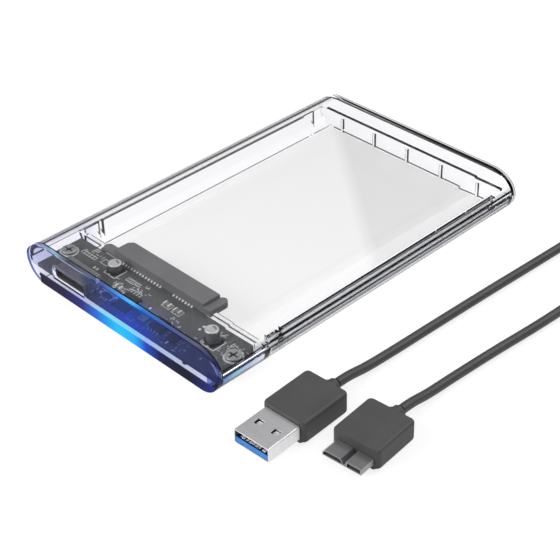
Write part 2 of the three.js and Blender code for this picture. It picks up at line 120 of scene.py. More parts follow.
def combined(piece, operation, others):
    for other in others:
        modified(piece, "BOOLEAN", object=other, operation=operation, solver="EXACT")
        bpy.data.objects.remove(other)
    return piece


def cutBy(piece, *cutters):
    return combined(piece, "DIFFERENCE", cutters)


def joinedSolid(piece, *others):
    return combined(piece, "UNION", others)


def joined(name, pieces):
    deselect()
    for piece in pieces:
        piece.select_set(True)
    bpy.context.view_layer.objects.active = pieces[0]
    if len(pieces) > 1:
        bpy.ops.object.join()
    whole = bpy.context.object
    whole.name = name
    whole.data.name = name
    return whole


def box(name, low, high):
    deselect()
    low, high = Vector(low), Vector(high)
    bpy.ops.mesh.primitive_cube_add(size=1, location=(low + high) / 2)
    piece = bpy.context.object
    piece.scale = high - low
    return settle(piece, name)


def cylinder(name, centre, radius, height, sides=48):
    deselect()
    bpy.ops.mesh.primitive_cylinder_add(vertices=sides, radius=radius, depth=height, location=centre)
    return settle(bpy.context.object, name)


def newObject(name, data):
    made = bpy.data.objects.new(name, data)
    bpy.context.scene.collection.objects.link(made)
    return made


def copied(node, name):  # a CAD node's mesh as a new piece, its loose triangles merged into whole faces
    piece = newObject(name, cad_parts[node].data.copy())
    piece.data.name = name
    pick(piece, "VERT", lambda vertex: True)
    bpy.ops.mesh.remove_doubles(threshold=0.002 * mm)
    bpy.ops.mesh.dissolve_limited(angle_limit=math.radians(0.6))
    finishEdit()
    return piece


def dress(piece, material, slot, *replaced, body=caseBody):
    piece.data.materials.clear()
    piece.data.materials.append(material)
    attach(piece, body)
    if replaced:
        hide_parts(*replaced)
    return piece


def spread(centre, count, pitch):
    return [centre + (number - (count - 1) / 2) * pitch for number in range(count)]


def middle(node):
    low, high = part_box(node)
    return (low + high) / 2


def bevelWhere(piece, test, offset, segments=1):
    pick(piece, "EDGE", test)
    bpy.ops.mesh.bevel(offset=offset, segments=segments, affect="EDGES")
    finishEdit()
    return piece


def atHeight(height):  # a test for edges that lie level at this height
    return lambda edge: all(abs(vertex.co.z - height) < hair for vertex in edge.verts)


def upright(edge):
    along = edge.verts[1].co - edge.verts[0].co
    return along.length > 0 and abs(along.normalized().z) > 0.9


def extendTip(piece, way, move):  # the end face on that side is pulled out by the move
    way = Vector(way)
    reach = max(face.center.dot(way) for face in piece.data.polygons)

    def atEnd(face):
        return face.normal.dot(way) > 0.7 and face.calc_center_median().dot(way) > reach - hair

    pick(piece, "FACE", atEnd)
    bpy.ops.mesh.extrude_region_move(TRANSFORM_OT_translate={"value": move})
    finishEdit()
    return piece


# A strip along Y, its end drawn out in steps of reach and rise. All sizes are in millimetres.
def bentStrip(name, width, length, thick, steps, way=1):
    strip = box(name, (-width * mm / 2, 0, 0), (width * mm / 2, length * mm, thick * mm))
    for reach, rise in steps:
        extendTip(strip, (0, way, 0), (0, way * reach * mm, rise * mm))
    return strip


def turned(piece, degrees):
    choose(piece)
    piece.rotation_euler.z = math.radians(degrees)
    return settle(piece, piece.name)


def repeated(piece, name, places):  # copies of one piece, each with its own mesh, joined
    copies = []
    for place in places:
        copy = newObject(name, piece.data.copy())
        copy.location = place
        copies.append(settle(copy, name))
    bpy.data.objects.remove(piece)
    return joined(name, copies)


def placed(piece, place, name):
    piece.matrix_world = place
    return settle(piece, name)


def finer(node, name, edge, segments=2, angle=35):  # a CAD node's shape with its edges rounded
    piece = copied(node, node + "_shape")
    rounded(piece, edge * mm, segments, angle)
    smooth(piece, flatFaces=True)
    piece.name = name
    return piece


view = {
    "azimuth": 46.361,
    "elevation": 35.802,
    "roll": -1.565,
    "lens": 92.26,
    "distance": 0.421884,
    "target": (0.014275, -0.01303, 0),
    "sensor": 36,
    "clip": (0.01, 50),
}


def makeCamera():
    turn, lift, roll = (math.radians(view[key]) for key in ("azimuth", "elevation", "roll"))
    back = Vector((math.sin(turn) * math.cos(lift), -math.cos(turn) * math.cos(lift), math.sin(lift)))
    level = Vector((0, 0, 1)).cross(back).normalized()
    rise = back.cross(level)
    right = level * math.cos(roll) + rise * math.sin(roll)
    up = rise * math.cos(roll) - level * math.sin(roll)
    camera = newObject("camera", bpy.data.cameras.new("camera"))
    camera.data.lens = view["lens"]
    camera.data.sensor_width = view["sensor"]
    camera.data.clip_start, camera.data.clip_end = view["clip"]
    place = Vector(view["target"]) + back * view["distance"]
    camera.matrix_world = Matrix.Translation(place) @ Matrix((right, up, back)).transposed().to_4x4()
    bpy.context.scene.camera = camera


makeCamera()
print("camera made")


def emptyTree(owner):
    owner.use_nodes = True
    owner.node_tree.nodes.clear()
    return owner.node_tree


def feed(tree, node, inputs):  # each socket gets a value, an output, or the first output of a node
    for socket, value in inputs.items():
        if isinstance(value, bpy.types.Node):
            value = value.outputs[0]
        if isinstance(value, bpy.types.NodeSocket):
            tree.links.new(value, node.inputs[socket])
        else:
            node.inputs[socket].default_value = value


def addNode(tree, kind, inputs, **settings):
    node = tree.nodes.new("ShaderNode" + kind)
    for key, value in settings.items():
        setattr(node, key, value)
    feed(tree, node, inputs)
    return node


def newMaterial(name):
    material = bpy.data.materials.new(name)
    tree = emptyTree(material)
    shader = addNode(tree, "BsdfPrincipled", {})
    addNode(tree, "OutputMaterial", {0: shader})
    return material, tree, shader


def ownPlace(tree):
    return addNode(tree, "TexCoord", {}).outputs["Object"]


def placeNoise(tree, scale, detail=3, stretch=(1, 1, 1)):
    mapping = addNode(tree, "Mapping", {0: ownPlace(tree), "Scale": stretch})
    return addNode(tree, "TexNoise", {"Vector": mapping, "Scale": scale, "Detail": detail})


def ramp(tree, source, stops):
    made = addNode(tree, "ValToRGB", {0: source})
    elements = made.color_ramp.elements
    while len(elements) < len(stops):
        elements.new(0.5)
    for element, (position, color) in zip(elements, stops):
        element.position = position
        element.color = (*color, 1)
    return made


def spanOf(tree, source, low, high, start=0, end=1):  # low to high becomes start to end
    span = {0: source, "From Min": low, "From Max": high, "To Min": start, "To Max": end}
    return addNode(tree, "MapRange", span)


def calculated(tree, operation, *values):
    return addNode(tree, "Math", dict(enumerate(values)), operation=operation)


def blended(tree, share, first, second):
    return addNode(tree, "MixRGB", {0: share, 1: first, 2: second})


def addBump(tree, shader, source, strength, distance):
    bump = addNode(tree, "Bump", {"Height": source, "Strength": strength, "Distance": distance})
    feed(tree, shader, {"Normal": bump})


def linear(shade):  # a shade written 0 to 255, as it shows on a screen
    value = shade / 255
    return value / 12.92 if value <= 0.04045 else ((value + 0.055) / 1.055) ** 2.4


def tone(red, green, blue):
    return (linear(red), linear(green), linear(blue))


def inBand(tree, value, low, high, soft):  # 1 between low and high, 0 outside, in millimetres
    rise = spanOf(tree, value, (low - soft) * mm, low * mm)
    fall = spanOf(tree, value, (high + soft) * mm, high * mm)
    return calculated(tree, "MULTIPLY", rise, fall)


def placeAxes(tree):
    x, y, z = addNode(tree, "SeparateXYZ", {0: ownPlace(tree)}).outputs
    side = calculated(tree, "ABSOLUTE", x)
    slope = calculated(tree, "MULTIPLY_ADD", x, 0.8, y)
    return {"x": x, "y": y, "z": z, "side": side, "slope": slope}


# One shade, or a run of them along an axis, for the part of a piece that lies within these bounds. Light that
# passes a clear face takes the square root of its colour, so a shade that only one face carries is squared.
def band(shades, power=1, soft=0.05, along="x", **within):
    if isinstance(shades, tuple):
        shades = [(0, shades), (1, shades)]
    return {"shades": shades, "power": power, "soft": soft, "along": along, "within": within}


def layered(tree, base, bands):  # a colour with bands of other colours laid over it
    axes = placeAxes(tree)
    result = base
    for layer in bands:
        mask = None
        for axis, (low, high) in layer["within"].items():
            part = inBand(tree, axes[axis], low, high, layer["soft"])
            mask = calculated(tree, "MULTIPLY", mask, part) if mask else part
        start, end = layer["shades"][0][0], layer["shades"][-1][0]
        stops = []
        for place, shade in layer["shades"]:
            color = tuple(part ** layer["power"] for part in tone(*shade))
            stops.append(((place - start) / (end - start), color))
        run = spanOf(tree, axes[layer["along"]], start * mm, end * mm)
        result = blended(tree, mask, result, ramp(tree, run, stops))
    return result


# A solid finish: two close shades mixed by a soft noise, a roughness that wanders, and a fine grain.
def solidFinish(
    name, shades, rough, metal=0, grain=9000, grainDepth=0.02, patch=140, stretch=(1, 1, 1), bands=(), **extra
):
    material, tree, shader = newMaterial(name)
    soft = placeNoise(tree, patch, 3, stretch)
    fine = placeNoise(tree, grain, 2, stretch)
    mixed = ramp(tree, soft, [(0.3, tone(*shades[0])), (0.7, tone(*shades[1]))])
    inputs = {
        "Base Color": layered(tree, mixed, bands),
        "Roughness": spanOf(tree, fine, 0, 1, *rough),
        "Metallic": metal,
    }
    feed(tree, shader, {**inputs, **extra})
    addBump(tree, shader, fine, 0.35, grainDepth * mm)
    return material


# The cable's route: out of the large plug, into the coil, and out to the small plug.
cable = {
    "diameter": 2.8 * mm,
    "length": 0.475,
    "plugRoute": [
        (61.7, -38.6, 3.5), (61.5, -34, 3.1), (61.4, -27, 2), (61.5, -18, 1.5),
        (62.1, 0, 1.45), (63.1, 25, 1.45), (64.2, 48, 1.45), (64.8, 62.5, 1.5),
    ],
    "smallPlugRoute": [
        (80.7, -34.7, 3.25), (80.5, -30.5, 2.9), (80.4, -24, 1.9), (80.6, -14, 1.5), (81.5, 2, 1.45),
        (82.9, 20, 1.45), (83.6, 34, 1.5), (84.1, 43, 1.9), (85, 49, 2.8), (87.2, 54.7, 4),
    ],
    "outerTurn": 17 * mm,
    "innerTurn": 14.2 * mm,
    "restHeight": 1.45 * mm,
    "tieLift": 0.65 * mm,
    "turnPoints": 20,
    "lowerTurns": 1.3,
    "allTurns": 2.625,
}


def easeBetween(value, low, high):
    share = min(max((value - low) / (high - low), 0), 1)
    return share * share * (3 - 2 * share)


def turnRadius(turn):  # one layer winds inwards and the layer on it winds out again
    if turn < cable["lowerTurns"]:
        share = easeBetween(turn, 0.3, 1.0)
    else:
        share = 1 - easeBetween(turn, 1.625, 2.3)
    return cable["outerTurn"] + (cable["innerTurn"] - cable["outerTurn"]) * share


def turnHeight(turn):  # the upper layer lies on the lower, and all of it rises over the tie at a quarter turn
    fromTie = abs((turn - 0.25 + 0.5) % 1 - 0.5) * 360
    lift = cable["tieLift"] * (1 - easeBetween(fromTie, 12, 45))
    layer = easeBetween(turn, cable["lowerTurns"], cable["lowerTurns"] + 0.2)
    return cable["restHeight"] + lift + layer * cable["diameter"]


def coilRoute():
    centre = middle("cable_coil")
    steps = math.floor(cable["allTurns"] * cable["turnPoints"])
    for step in range(steps + 1):
        turn = cable["allTurns"] * step / steps
        angle = math.pi - 2 * math.pi * turn
        radius = turnRadius(turn)
        out = Vector((math.cos(angle), math.sin(angle), 0)) * radius
        yield Vector((centre.x + out.x, centre.y + out.y, turnHeight(turn)))


def makeCord(material):
    route = [Vector(point) * mm for point in cable["plugRoute"]]
    route += list(coilRoute())
    route += [Vector(point) * mm for point in reversed(cable["smallPlugRoute"])]
    curve = bpy.data.curves.new("data_cable", "CURVE")
    curve.dimensions = "3D"
    curve.bevel_depth = cable["diameter"] / 2
    curve.bevel_resolution = 6
    curve.use_fill_caps = True
    curve.resolution_u = 6
    spline = curve.splines.new("BEZIER")
    spline.bezier_points.add(len(route) - 1)
    for bend, place in zip(spline.bezier_points, route):
        bend.co = place
        bend.handle_left_type = "AUTO"
        bend.handle_right_type = "AUTO"
    cord = newObject("data_cable", curve)
    dress(cord, material, "cord_jacket", "cable_to_plug", "cable_to_micro_plug", "cable_coil")
    return cord, route


jacket = solidFinish("cord jacket", [(66.3, 66.3, 66.9), (74.8, 74.8, 75.3)], (0.42, 0.55), grain=5200)
cord, cordRoute = makeCord(jacket)
print("cable laid")

# The clear plastic, with the blue light of the port end's lamp painted into its edges as tints and glow, and
# painted shade and painted reflections along its edges and seams. All bands are in millimetres.
frontFace = (-63, -62.27)
rimDepth = (-62.2, -61.08)
# Painted light: the lamp's blue glow along the top rim and the sides of the lit end.
paintedRimGlow = [
    (-41.7, (40, 60, 135)), (-34, (124, 138, 168)), (-29, (140, 174, 196)), (-22, (64, 62, 64)),
    (-14, (92, 100, 116)), (-6, (78, 96, 156)), (2, (76, 160, 222)), (6, (88, 186, 236)),
    (11, (42, 104, 190)), (20, (74, 92, 142)), (33, (98, 100, 112)), (40, (28, 34, 70)),
]
# Painted light: the lamp's glow along the foot of the front face, bright by the lamp and dark navy at both
# sides.
paintedBaseGlow = [
    (-36, (8, 4, 36)), (-24, (18, 12, 70)), (-16, (36, 40, 126)), (-9, (24, 110, 220)),
    (0, (18, 192, 252)), (7, (26, 172, 246)), (12, (8, 70, 195)), (18, (3, 10, 74)), (30, (2, 6, 26)),
    (41, (32, 42, 132)),
]
# Painted light: a pale strip across the front face, cyan where the lamp is.
paintedGapLight = [
    (-35, (240, 241, 248)), (-24, (194, 200, 216)), (-12, (190, 198, 237)), (-5, (140, 228, 248)),
    (6, (122, 224, 251)), (13, (156, 192, 238)), (28, (192, 206, 238)), (39, (214, 220, 244)),
]
# Painted shade and painted lamp light: the front wall darkened, and bluer near the lamp.
paintedWallShadeAndLight = [
    (-41, (205, 212, 240)), (-30, (188, 190, 212)), (-16, (190, 192, 212)), (-13, (120, 128, 165)),
    (1, (70, 98, 168)), (12, (78, 106, 172)), (20, (104, 118, 160)), (41, (108, 118, 165)),
]
# Painted light: a faint blue glow over the front wall.
paintedWallLight = [
    (-41, (8, 8, 18)), (-16, (14, 14, 34)), (-5, (18, 34, 82)), (4, (13, 44, 104)), (22, (18, 26, 58)),
    (40, (16, 24, 70)),
]
# Painted light: the lamp's blue on the near side by the lit end, fading to clear further back.
paintedSideLight = [
    (-62.5, (40, 54, 138)), (-58.7, (112, 132, 205)), (-55, (140, 196, 218)), (-50, (184, 194, 232)),
    (-43.5, (246, 248, 252)),
]
# Painted reflections and painted shade along the near side, where tray and cover meet: grey at the seam, and
# a dark line above and below it.
paintedSeamUnder = [
    (3.6, (250, 251, 253)), (4.0, (205, 207, 211)), (4.2, (190, 192, 196)), (4.6, (232, 233, 236)),
    (5.2, (238, 240, 244)), (5.32, (120, 122, 126)), (5.42, (30, 30, 34)), (5.75, (30, 30, 34)),
    (5.85, (150, 152, 156)), (6.8, (160, 162, 166)),
]
paintedSeamOver = [
    (6.8, (136, 138, 142)), (7.3, (140, 142, 146)), (7.5, (196, 198, 201)), (7.85, (206, 208, 211)),
    (7.95, (244, 245, 246)), (8.2, (244, 245, 246)), (8.35, (150, 151, 154)), (8.52, (16, 16, 20)),
    (8.9, (8, 8, 12)), (9.05, (120, 121, 124)), (9.2, (216, 217, 219)), (9.7, (228, 229, 231)),
    (10, (246, 247, 248)),
]
paintedSeamFront = [
    (6.8, (150, 156, 176)), (7.3, (176, 180, 194)), (7.9, (236, 238, 242)), (8.35, (200, 202, 208)),
    (8.55, (96, 98, 106)), (8.85, (96, 98, 106)), (9.05, (206, 208, 212)), (10, (238, 239, 241)),
]
# Painted shade: the cover's far edge darker low down and paler at the top.
paintedFarEdgeShade = [
    (11.2, (84, 86, 92)), (11.7, (98, 100, 106)), (12, (122, 124, 129)), (12.3, (176, 178, 182)),
    (12.6, (236, 237, 239)),
]
# Painted reflections and painted shade: pale and dark lines along the lips.
paintedNearLipLines = [
    (37.6, (250, 250, 251)), (38.15, (248, 248, 249)), (38.3, (176, 176, 178)), (38.7, (158, 158, 160)),
    (39.3, (104, 104, 107)),
]
paintedFarLipLines = [
    (-39.3, (120, 121, 124)), (-38.95, (140, 141, 144)), (-38.75, (236, 236, 238)),
    (-38.05, (236, 236, 238)), (-37.85, (96, 97, 100)), (-37.6, (90, 91, 94)),
]
# Painted reflection and shade: the bay floor a little grey through both shells, darker towards the back and
# the near side.
paintedBayShade = [(-80, (247, 247, 247)), (31, (246, 246, 246)), (37, (229, 229, 229)), (90, (229, 229, 229))]
# Painted light: a pale blue tint of the lamp's light at the far front corner.
paintedFarCornerLight = band((240, 240, 250), soft=4, x=(-43, -36), y=(-61.9, -42))

# Painted shade: dark lines down both edges of each rib on the low back wall.
ribs = {"places": (-0.4, 5, 14.4), "half": 0.5, "line": 0.14, "y": (59.1, 59.6), "z": (1.8, 6.45)}
paintedRibShadeLines = []
for place in spread(*ribs["places"]):
    for edge in (place - ribs["half"], place + ribs["half"]):
        line = (edge - ribs["line"], edge + ribs["line"])
        paintedRibShadeLines.append(band((78, 78, 80), 2, x=line, y=ribs["y"], z=ribs["z"]))

# Painted shade: dark lines also at the edges of the slits in the lips, and at the lips' back ends.
paintedSlitShadeLines = []
for line in ((-38.42, -38.14), (-36.86, -36.58), (54.24, 54.55)):
    paintedSlitShadeLines.append(band((70, 70, 73), 2, side=(37.5, 39.35), y=line, z=(2, 8.6)))

clearPlastic = {"edge": 0.22 * mm, "shade": (252, 252, 253), "rough": 0.02, "refraction": 1.46}
trayLook = {
    "lessBent": (-60.9 * mm, -60.4 * mm, 1.15),  # the lit end throws back less of the table
    # Painted shade, painted reflections and painted lamp light, laid over the clear plastic as tints.
    "paintedTints": [
        *paintedRibShadeLines,
        *paintedSlitShadeLines,
        paintedFarCornerLight,
        band(paintedBayShade, along="slope", side=(0, 35.1), y=(-42, 59.8), z=(-1, 1.62)),
        band(paintedSideLight, along="y", x=(36, 43), y=(-61.9, -43.5), z=(-1, 6.9)),
        band(paintedSeamUnder, 2, along="z", x=(40.2, 43), y=(-43, 62), z=(3.6, 6.75)),
        band(paintedNearLipLines, 2, x=(37.5, 39.5), z=(8.3, 8.6)),
        band(paintedFarLipLines, 2, x=(-39.5, -37.5), z=(8.3, 8.6)),
        # Painted shade: dark lines along the back wall, the floor's edge and foot, and across the case near
        # the front.
        band((48, 48, 51), 2, y=(59.9, 61.1), z=(7.4, 7.7)),
        band((130, 130, 132), 2, side=(35.12, 35.28), z=(1.53, 1.76)),
        band((84, 84, 86), 2, y=(59.8, 60.03), z=(1.4, 1.8), side=(0, 33.5)),
        band((120, 120, 123), 2, y=(-44.25, -43.98), z=(5.9, 6.4), side=(0, 37)),
        band((104, 104, 107), 2, y=(-42.82, -42.55), z=(5.9, 6.4), side=(0, 36)),
        # Painted shade: the rim and front face of the lit end darkened, with the lamp's light painted in.
        band((80, 86, 108), 2, y=rimDepth, z=(12.6, 14)),
        band((80, 86, 120), 2, y=rimDepth, side=(34, 43)),
        band(paintedWallShadeAndLight, 2, 0.2, y=frontFace, z=(5.5, 14)),
        band(paintedGapLight, 1.7, 0.12, y=frontFace, z=(3.8, 5.5)),
        band((0, 0, 8), 2, 0.3, y=frontFace, z=(-1, 3.7), x=(-35.8, 43)),
    ],
    # Painted light: the lamp's glow in the rim and the front wall, which are no lamps.
    "glow": [
        band(paintedRimGlow, y=rimDepth, z=(12.6, 14)),
        band(paintedRimGlow, y=rimDepth, side=(34, 43)),
        band(paintedWallLight, soft=0.2, y=frontFace, z=(5.5, 14)),
        band(paintedBaseGlow, soft=0.3, y=frontFace, z=(-1, 3.7), x=(-35.8, 43)),
    ],
}
coverLook = {
    # Painted shade and painted reflections along the cover's seam, far edge, front edge and back inner
    # corner.
    "paintedTints": [
        paintedFarCornerLight,
        band(paintedSeamFront, 2, along="z", x=(40.5, 43), y=(-60.4, -43.3), z=(6.85, 10)),
        band(paintedSeamOver, 2, along="z", x=(40.5, 43), y=(-43.2, 63), z=(6.85, 10)),
        band(paintedFarEdgeShade, 2, along="z", x=(-43, -36.6), z=(11.25, 12.55)),
        band((128, 134, 138), 2, y=(-61, -60.55)),
        band((84, 84, 87), 2, y=(60.9, 61.4), z=(11.5, 12.4)),
    ],
    # Painted light: a pale glow along the top of the cover's back end.
    "glow": [band((214, 215, 217), y=(61.7, 62.2))],
}


def clearFinish(name, look):
    material, tree, shader = newMaterial(name)
    refraction = clearPlastic["refraction"]
    if "lessBent" in look:
        refraction = spanOf(tree, placeAxes(tree)["y"], *look["lessBent"], refraction)
    inputs = {
        # The base colour carries the painted shade, reflections and lamp light, and the emission the painted
        # glow.
        "Base Color": layered(tree, (*tone(*clearPlastic["shade"]), 1), look["paintedTints"]),
        "Roughness": clearPlastic["rough"],
        "IOR": refraction,
        "Transmission Weight": 1,
        "Specular Tint": (0, 0, 0, 1),
        "Emission Color": layered(tree, (0, 0, 0, 1), look["glow"]),
        "Emission Strength": 1,
    }
    feed(tree, shader, inputs)
    return material


def makeShell(node, name, look, body):
    shell = copied(node, name)
    rounded(shell, clearPlastic["edge"], 2, 38)
    smooth(shell, 35, flatFaces=True)
    dress(shell, clearFinish(name.replace("_", " "), look), name, node, body=body)
    # Light that falls on what the case holds comes straight through it.
    shell.visible_shadow = False
    shell.visible_diffuse = False


makeShell("bottom_tray", "clear_tray", trayLook, caseBody)
makeShell("top_cover", "clear_cover", coverLook, coverBody)
print("clear shells made")


# Finishes of everything that isn't clear: shades, roughness, metal, grain, its depth, patch size and stretch.
brushed = (2600, 0.006, 90, (1, 6, 1))
steel = solidFinish("satin steel", [(226, 226, 228), (236, 236, 238)], (0.3, 0.42), 0.8, *brushed)
darkSteel = solidFinish("dark steel", [(150, 150, 152), (162, 162, 164)], (0.3, 0.42), 0.8, *brushed)
tin = solidFinish("bright tin", [(222, 223, 225), (236, 236, 236)], (0.3, 0.45), 0.45, 7000, 0.008, 600)
gold = solidFinish("contact gold", [(206, 166, 96), (222, 186, 120)], (0.2, 0.32), 1, 7000, 0.004, 600)
socketShades = [(104, 104, 106), (112, 112, 114)]
connectorPlastic = solidFinish("connector plastic", socketShades, (0.5, 0.62), 0, 7000, 0.012, 200)
chipPlastic = solidFinish("chip plastic", [(38, 38, 41), (46, 46, 49)], (0.5, 0.66), 0, 9000, 0.012, 500)
ceramicShades = [(112, 108, 103), (126, 122, 116)]
ceramic = solidFinish("capacitor ceramic", ceramicShades, (0.35, 0.5), 0, 6000, 0.006, 900)
ink = ([(206, 208, 210), (222, 223, 224)], (0.6, 0.75), 0, 5000, 0.004, 900)
# Painted light: a blue-white glow on the marks near the lamp.
paintedInkGlow = {"Emission Color": (0.7, 0.85, 1, 1), "Emission Strength": 1.1}
printInk = solidFinish("board print", *ink)
litInk = solidFinish("lit board print", *ink, **paintedInkGlow)
darkInk = solidFinish("polarity mark", [(118, 118, 120), (132, 132, 134)], (0.5, 0.6), 0, 5000, 0.004, 900)
gripPlastic = solidFinish("grip plastic", [(73, 73, 74), (80, 80, 81)], (0.5, 0.62), 0, 3200, 0.02, 120)
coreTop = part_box("usb_plug_insulator")[1].z / mm
blueShades = [(44, 140, 236), (54, 152, 244)]
# Painted shade: the insulator's top, deep inside the shell, is darkened.
paintedTopShade = band((8, 26, 74), z=(coreTop - 0.03, coreTop + 0.1))
blueInsulator = solidFinish("blue insulator", blueShades, (0.35, 0.5), 0, 5000, 0.008, 300, bands=[paintedTopShade])
blackShades = [(28, 28, 31), (38, 38, 41)]
blackInsulator = solidFinish("black insulator", blackShades, (0.4, 0.55), 0, 6000, 0.008, 400)
lampBody = solidFinish("lamp body", [(214, 216, 220), (226, 227, 230)], (0.4, 0.5), 0, 5000, 0.004, 700)
lensShades = [(40, 84, 150), (52, 100, 170)]
lensGlow = {"Emission Color": (0.05, 0.35, 1, 1), "Emission Strength": 0.3}
lampLens = solidFinish("lamp lens", lensShades, (0.12, 0.2), 0, 5000, 0.004, 700, **lensGlow)

laminate = {
    "waves": {"Scale": 190, "Distortion": 9, "Detail": 0, "Detail Scale": 0.4},
    # Painted light: the board near the lamp at the middle of the front edge glows blue, as if the lamp lit
    # it.
    "light": [
        (0, (0, 0, 0)), (0.12, (4, 8, 40)), (0.25, (8, 50, 180)), (0.38, (10, 80, 235)),
        (0.5, (10, 60, 210)), (0.62, (10, 26, 110)), (0.78, (8, 14, 60)), (1, (2, 4, 22)),
    ],
    "across": (-20 * mm, 40 * mm),
    "fade": (-50 * mm, -60 * mm),
    "fadePower": 1.8,
    "strength": 0.8,
}


def makeLaminate():
    material, tree, shader = newMaterial("board laminate")
    shades = ramp(tree, placeNoise(tree, 130), [(0.35, tone(76, 77, 79)), (0.65, tone(84, 85, 87))])
    waves = {"Vector": ownPlace(tree), **laminate["waves"]}
    traces = addNode(tree, "TexWave", waves, bands_direction="DIAGONAL")
    lines = ramp(tree, traces, [(0.86, (0, 0, 0)), (0.92, (0.22, 0.22, 0.22))])
    axes = placeAxes(tree)
    # Painted light: an emitted blue glow near the lamp, fading towards the back.
    light = [(place, tone(*shade)) for place, shade in laminate["light"]]
    light = ramp(tree, spanOf(tree, axes["x"], *laminate["across"]), light)
    fade = calculated(tree, "POWER", spanOf(tree, axes["y"], *laminate["fade"]), laminate["fadePower"])
    inputs = {
        "Base Color": blended(tree, lines, shades, (*tone(104, 106, 108), 1)),
        "Roughness": 0.5,
        "Emission Color": blended(tree, fade, (0, 0, 0, 1), light),
        "Emission Strength": laminate["strength"],
    }
    feed(tree, shader, inputs)
    addBump(tree, shader, placeNoise(tree, 900, 2), 0.25, 0.01 * mm)
    return material


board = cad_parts["adapter_board"].data
board.materials.clear()
board.materials.append(makeLaminate())
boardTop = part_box("adapter_board")[1].z

# White outlines and small marks printed on the board, and the tinned pads between them.
boardPrint = {
    "line": 0.2,
    "boldLine": 0.36,
    "ink": 0.03,
    "boxes": [
        (-32.9, -49.2, -26.6, -48, 5), (-30.4, -46.1, -28.8, -45.2, 2), (-24.4, -48.8, -21.6, -46.7, 1),
        (-12.2, -49.3, -8.9, -47.8, 4), (-8.4, -49, -6.9, -47.8, 2), (-6.5, -52.3, -2.9, -50.8, 3),
        (-9.9, -53.4, -8.7, -52.2, 1), (4.4, -50.1, 7.6, -47.9, 2), (8.8, -50.2, 12, -48, 2),
    ],
    "strokes": [
        (-13.6, -52.4, -12.2, -52), (-12.2, -52, -12.4, -51.1), (-14.8, -50.6, -13.7, -50.2),
        (-13, -54.6, -11.6, -54.6), (-11.6, -54.6, -11.6, -53.8), (14.6, -54.4, 15.6, -54.4),
        (15.2, -53.4, 16, -53.4), (20.2, -56.4, 21.4, -56.1), (21.4, -56.1, 21.2, -55.4),
        (22.6, -55, 23.6, -54.7), (22.2, -53.4, 23, -53.4), (31.4, -48.9, 31.4, -47.7),
        (32.2, -48.9, 32.2, -47.7), (33, -48.9, 33.8, -48.9), (33, -48.1, 33.8, -48.1),
        (34.7, -48.9, 34.7, -47.9), (35.5, -48.9, 36.4, -48.9), (32, -50.9, 32.9, -50.9),
        (31.4, -50.1, 32.6, -50.1), (25.2, -47.6, 26, -47.6), (26.4, -47.6, 26.4, -46.9),
        (26.9, -47.2, 27.8, -47.2),
    ],
    "pads": [
        (-31.6, -55.6, 0.9, 0.9), (-31.6, -53.9, 0.9, 0.9), (-23.6, -51.6, 0.7, 1),
        (-22.3, -51.6, 0.7, 1), (-12.6, -57.4, 0.5, 0.5), (-11.8, -58.6, 0.5, 0.5),
        (3.4, -53.2, 0.6, 0.8), (20.6, -50, 0.8, 0.8), (20.6, -48.4, 0.8, 0.8), (23.9, -58, 0.9, 0.5),
        (29.6, -57.4, 0.5, 0.9),
    ],
    "padHeight": 0.05,
    "screwRing": 0.55,
    "screwHole": 1.4,
    "seeds": (4, 6),
    # Fields of small marks: each has its corners and how many marks it holds.
    "fields": [
        (-13.8, -54.4, -6.8, -50.4, 20), (-6.4, -50.6, -0.6, -47.4, 14), (-0.2, -60, 8.4, -56.2, 10),
        (13.8, -60, 24.2, -53.2, 12), (8.6, -53.6, 16.8, -51.8, 8), (29.4, -53.4, 36.8, -47.4, 26),
        (23.4, -48.4, 29.2, -46.6, 8), (-33.6, -48.6, -25.4, -46.8, 6),
    ],
    "litFields": [(-14.4, -57.8, -7.2, -54.6, 24), (-6.6, -58.6, -0.4, -56, 12), (17, -60.4, 24, -58.6, 5)],
    "litBoxes": [(-12.4, -57.2, -8.4, -54.8, 2), (-5.2, -58.4, -3.2, -57, 1)],
    "markSizes": (0.35, 0.95),
}


def stroke(x0, y0, x1, y1, width=boardPrint["line"]):
    start, end = Vector((x0, y0)) * mm, Vector((x1, y1)) * mm
    along, width, ink = end - start, width * mm, boardPrint["ink"] * mm
    centre = (start + end) / 2
    deselect()
    bpy.ops.mesh.primitive_cube_add(size=1, location=(centre.x, centre.y, boardTop + ink / 2))
    bar = bpy.context.object
    bar.scale = (along.length + width, width, ink)
    bar.rotation_euler.z = math.atan2(along.y, along.x)
    return settle(bar, "stroke")


def boxes(places):  # outlines, each divided into cells
    bars = []
    for x0, y0, x1, y1, cells in places:
        bars += [stroke(x0, y, x1, y) for y in (y0, y1)]
        for line in (0, cells, *range(1, cells)):
            x = x0 + (x1 - x0) * line / cells
            bars.append(stroke(x, y0, x, y1))
    return bars


def canCorner(node):  # a bold corner round two sides of a can's foot, with a hook at each end
    low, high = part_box(node)
    x0, y0, x1, y1 = (low.x / mm - 0.1, low.y / mm - 0.4, high.x / mm + 0.4, high.y / mm + 0.1)
    ends = ((x0, y0, x1, y0), (x1, y0, x1, y1), (x0, y0, x0, y0 + 0.8), (x1, y1, x1 - 0.8, y1))
    return [stroke(*end, boardPrint["boldLine"]) for end in ends]


def marks(fields, seed):  # short strokes strewn over each field, along it or across it
    chance = random.Random(seed)
    bars = []
    for x0, y0, x1, y1, count in fields:
        for number in range(count):
            x, y = chance.uniform(x0, x1), chance.uniform(y0, y1)
            reach = chance.uniform(*boardPrint["markSizes"])
            across = chance.random() < 0.5
            bars.append(stroke(x, y, x + reach * across, y + reach * (not across)))
    return bars


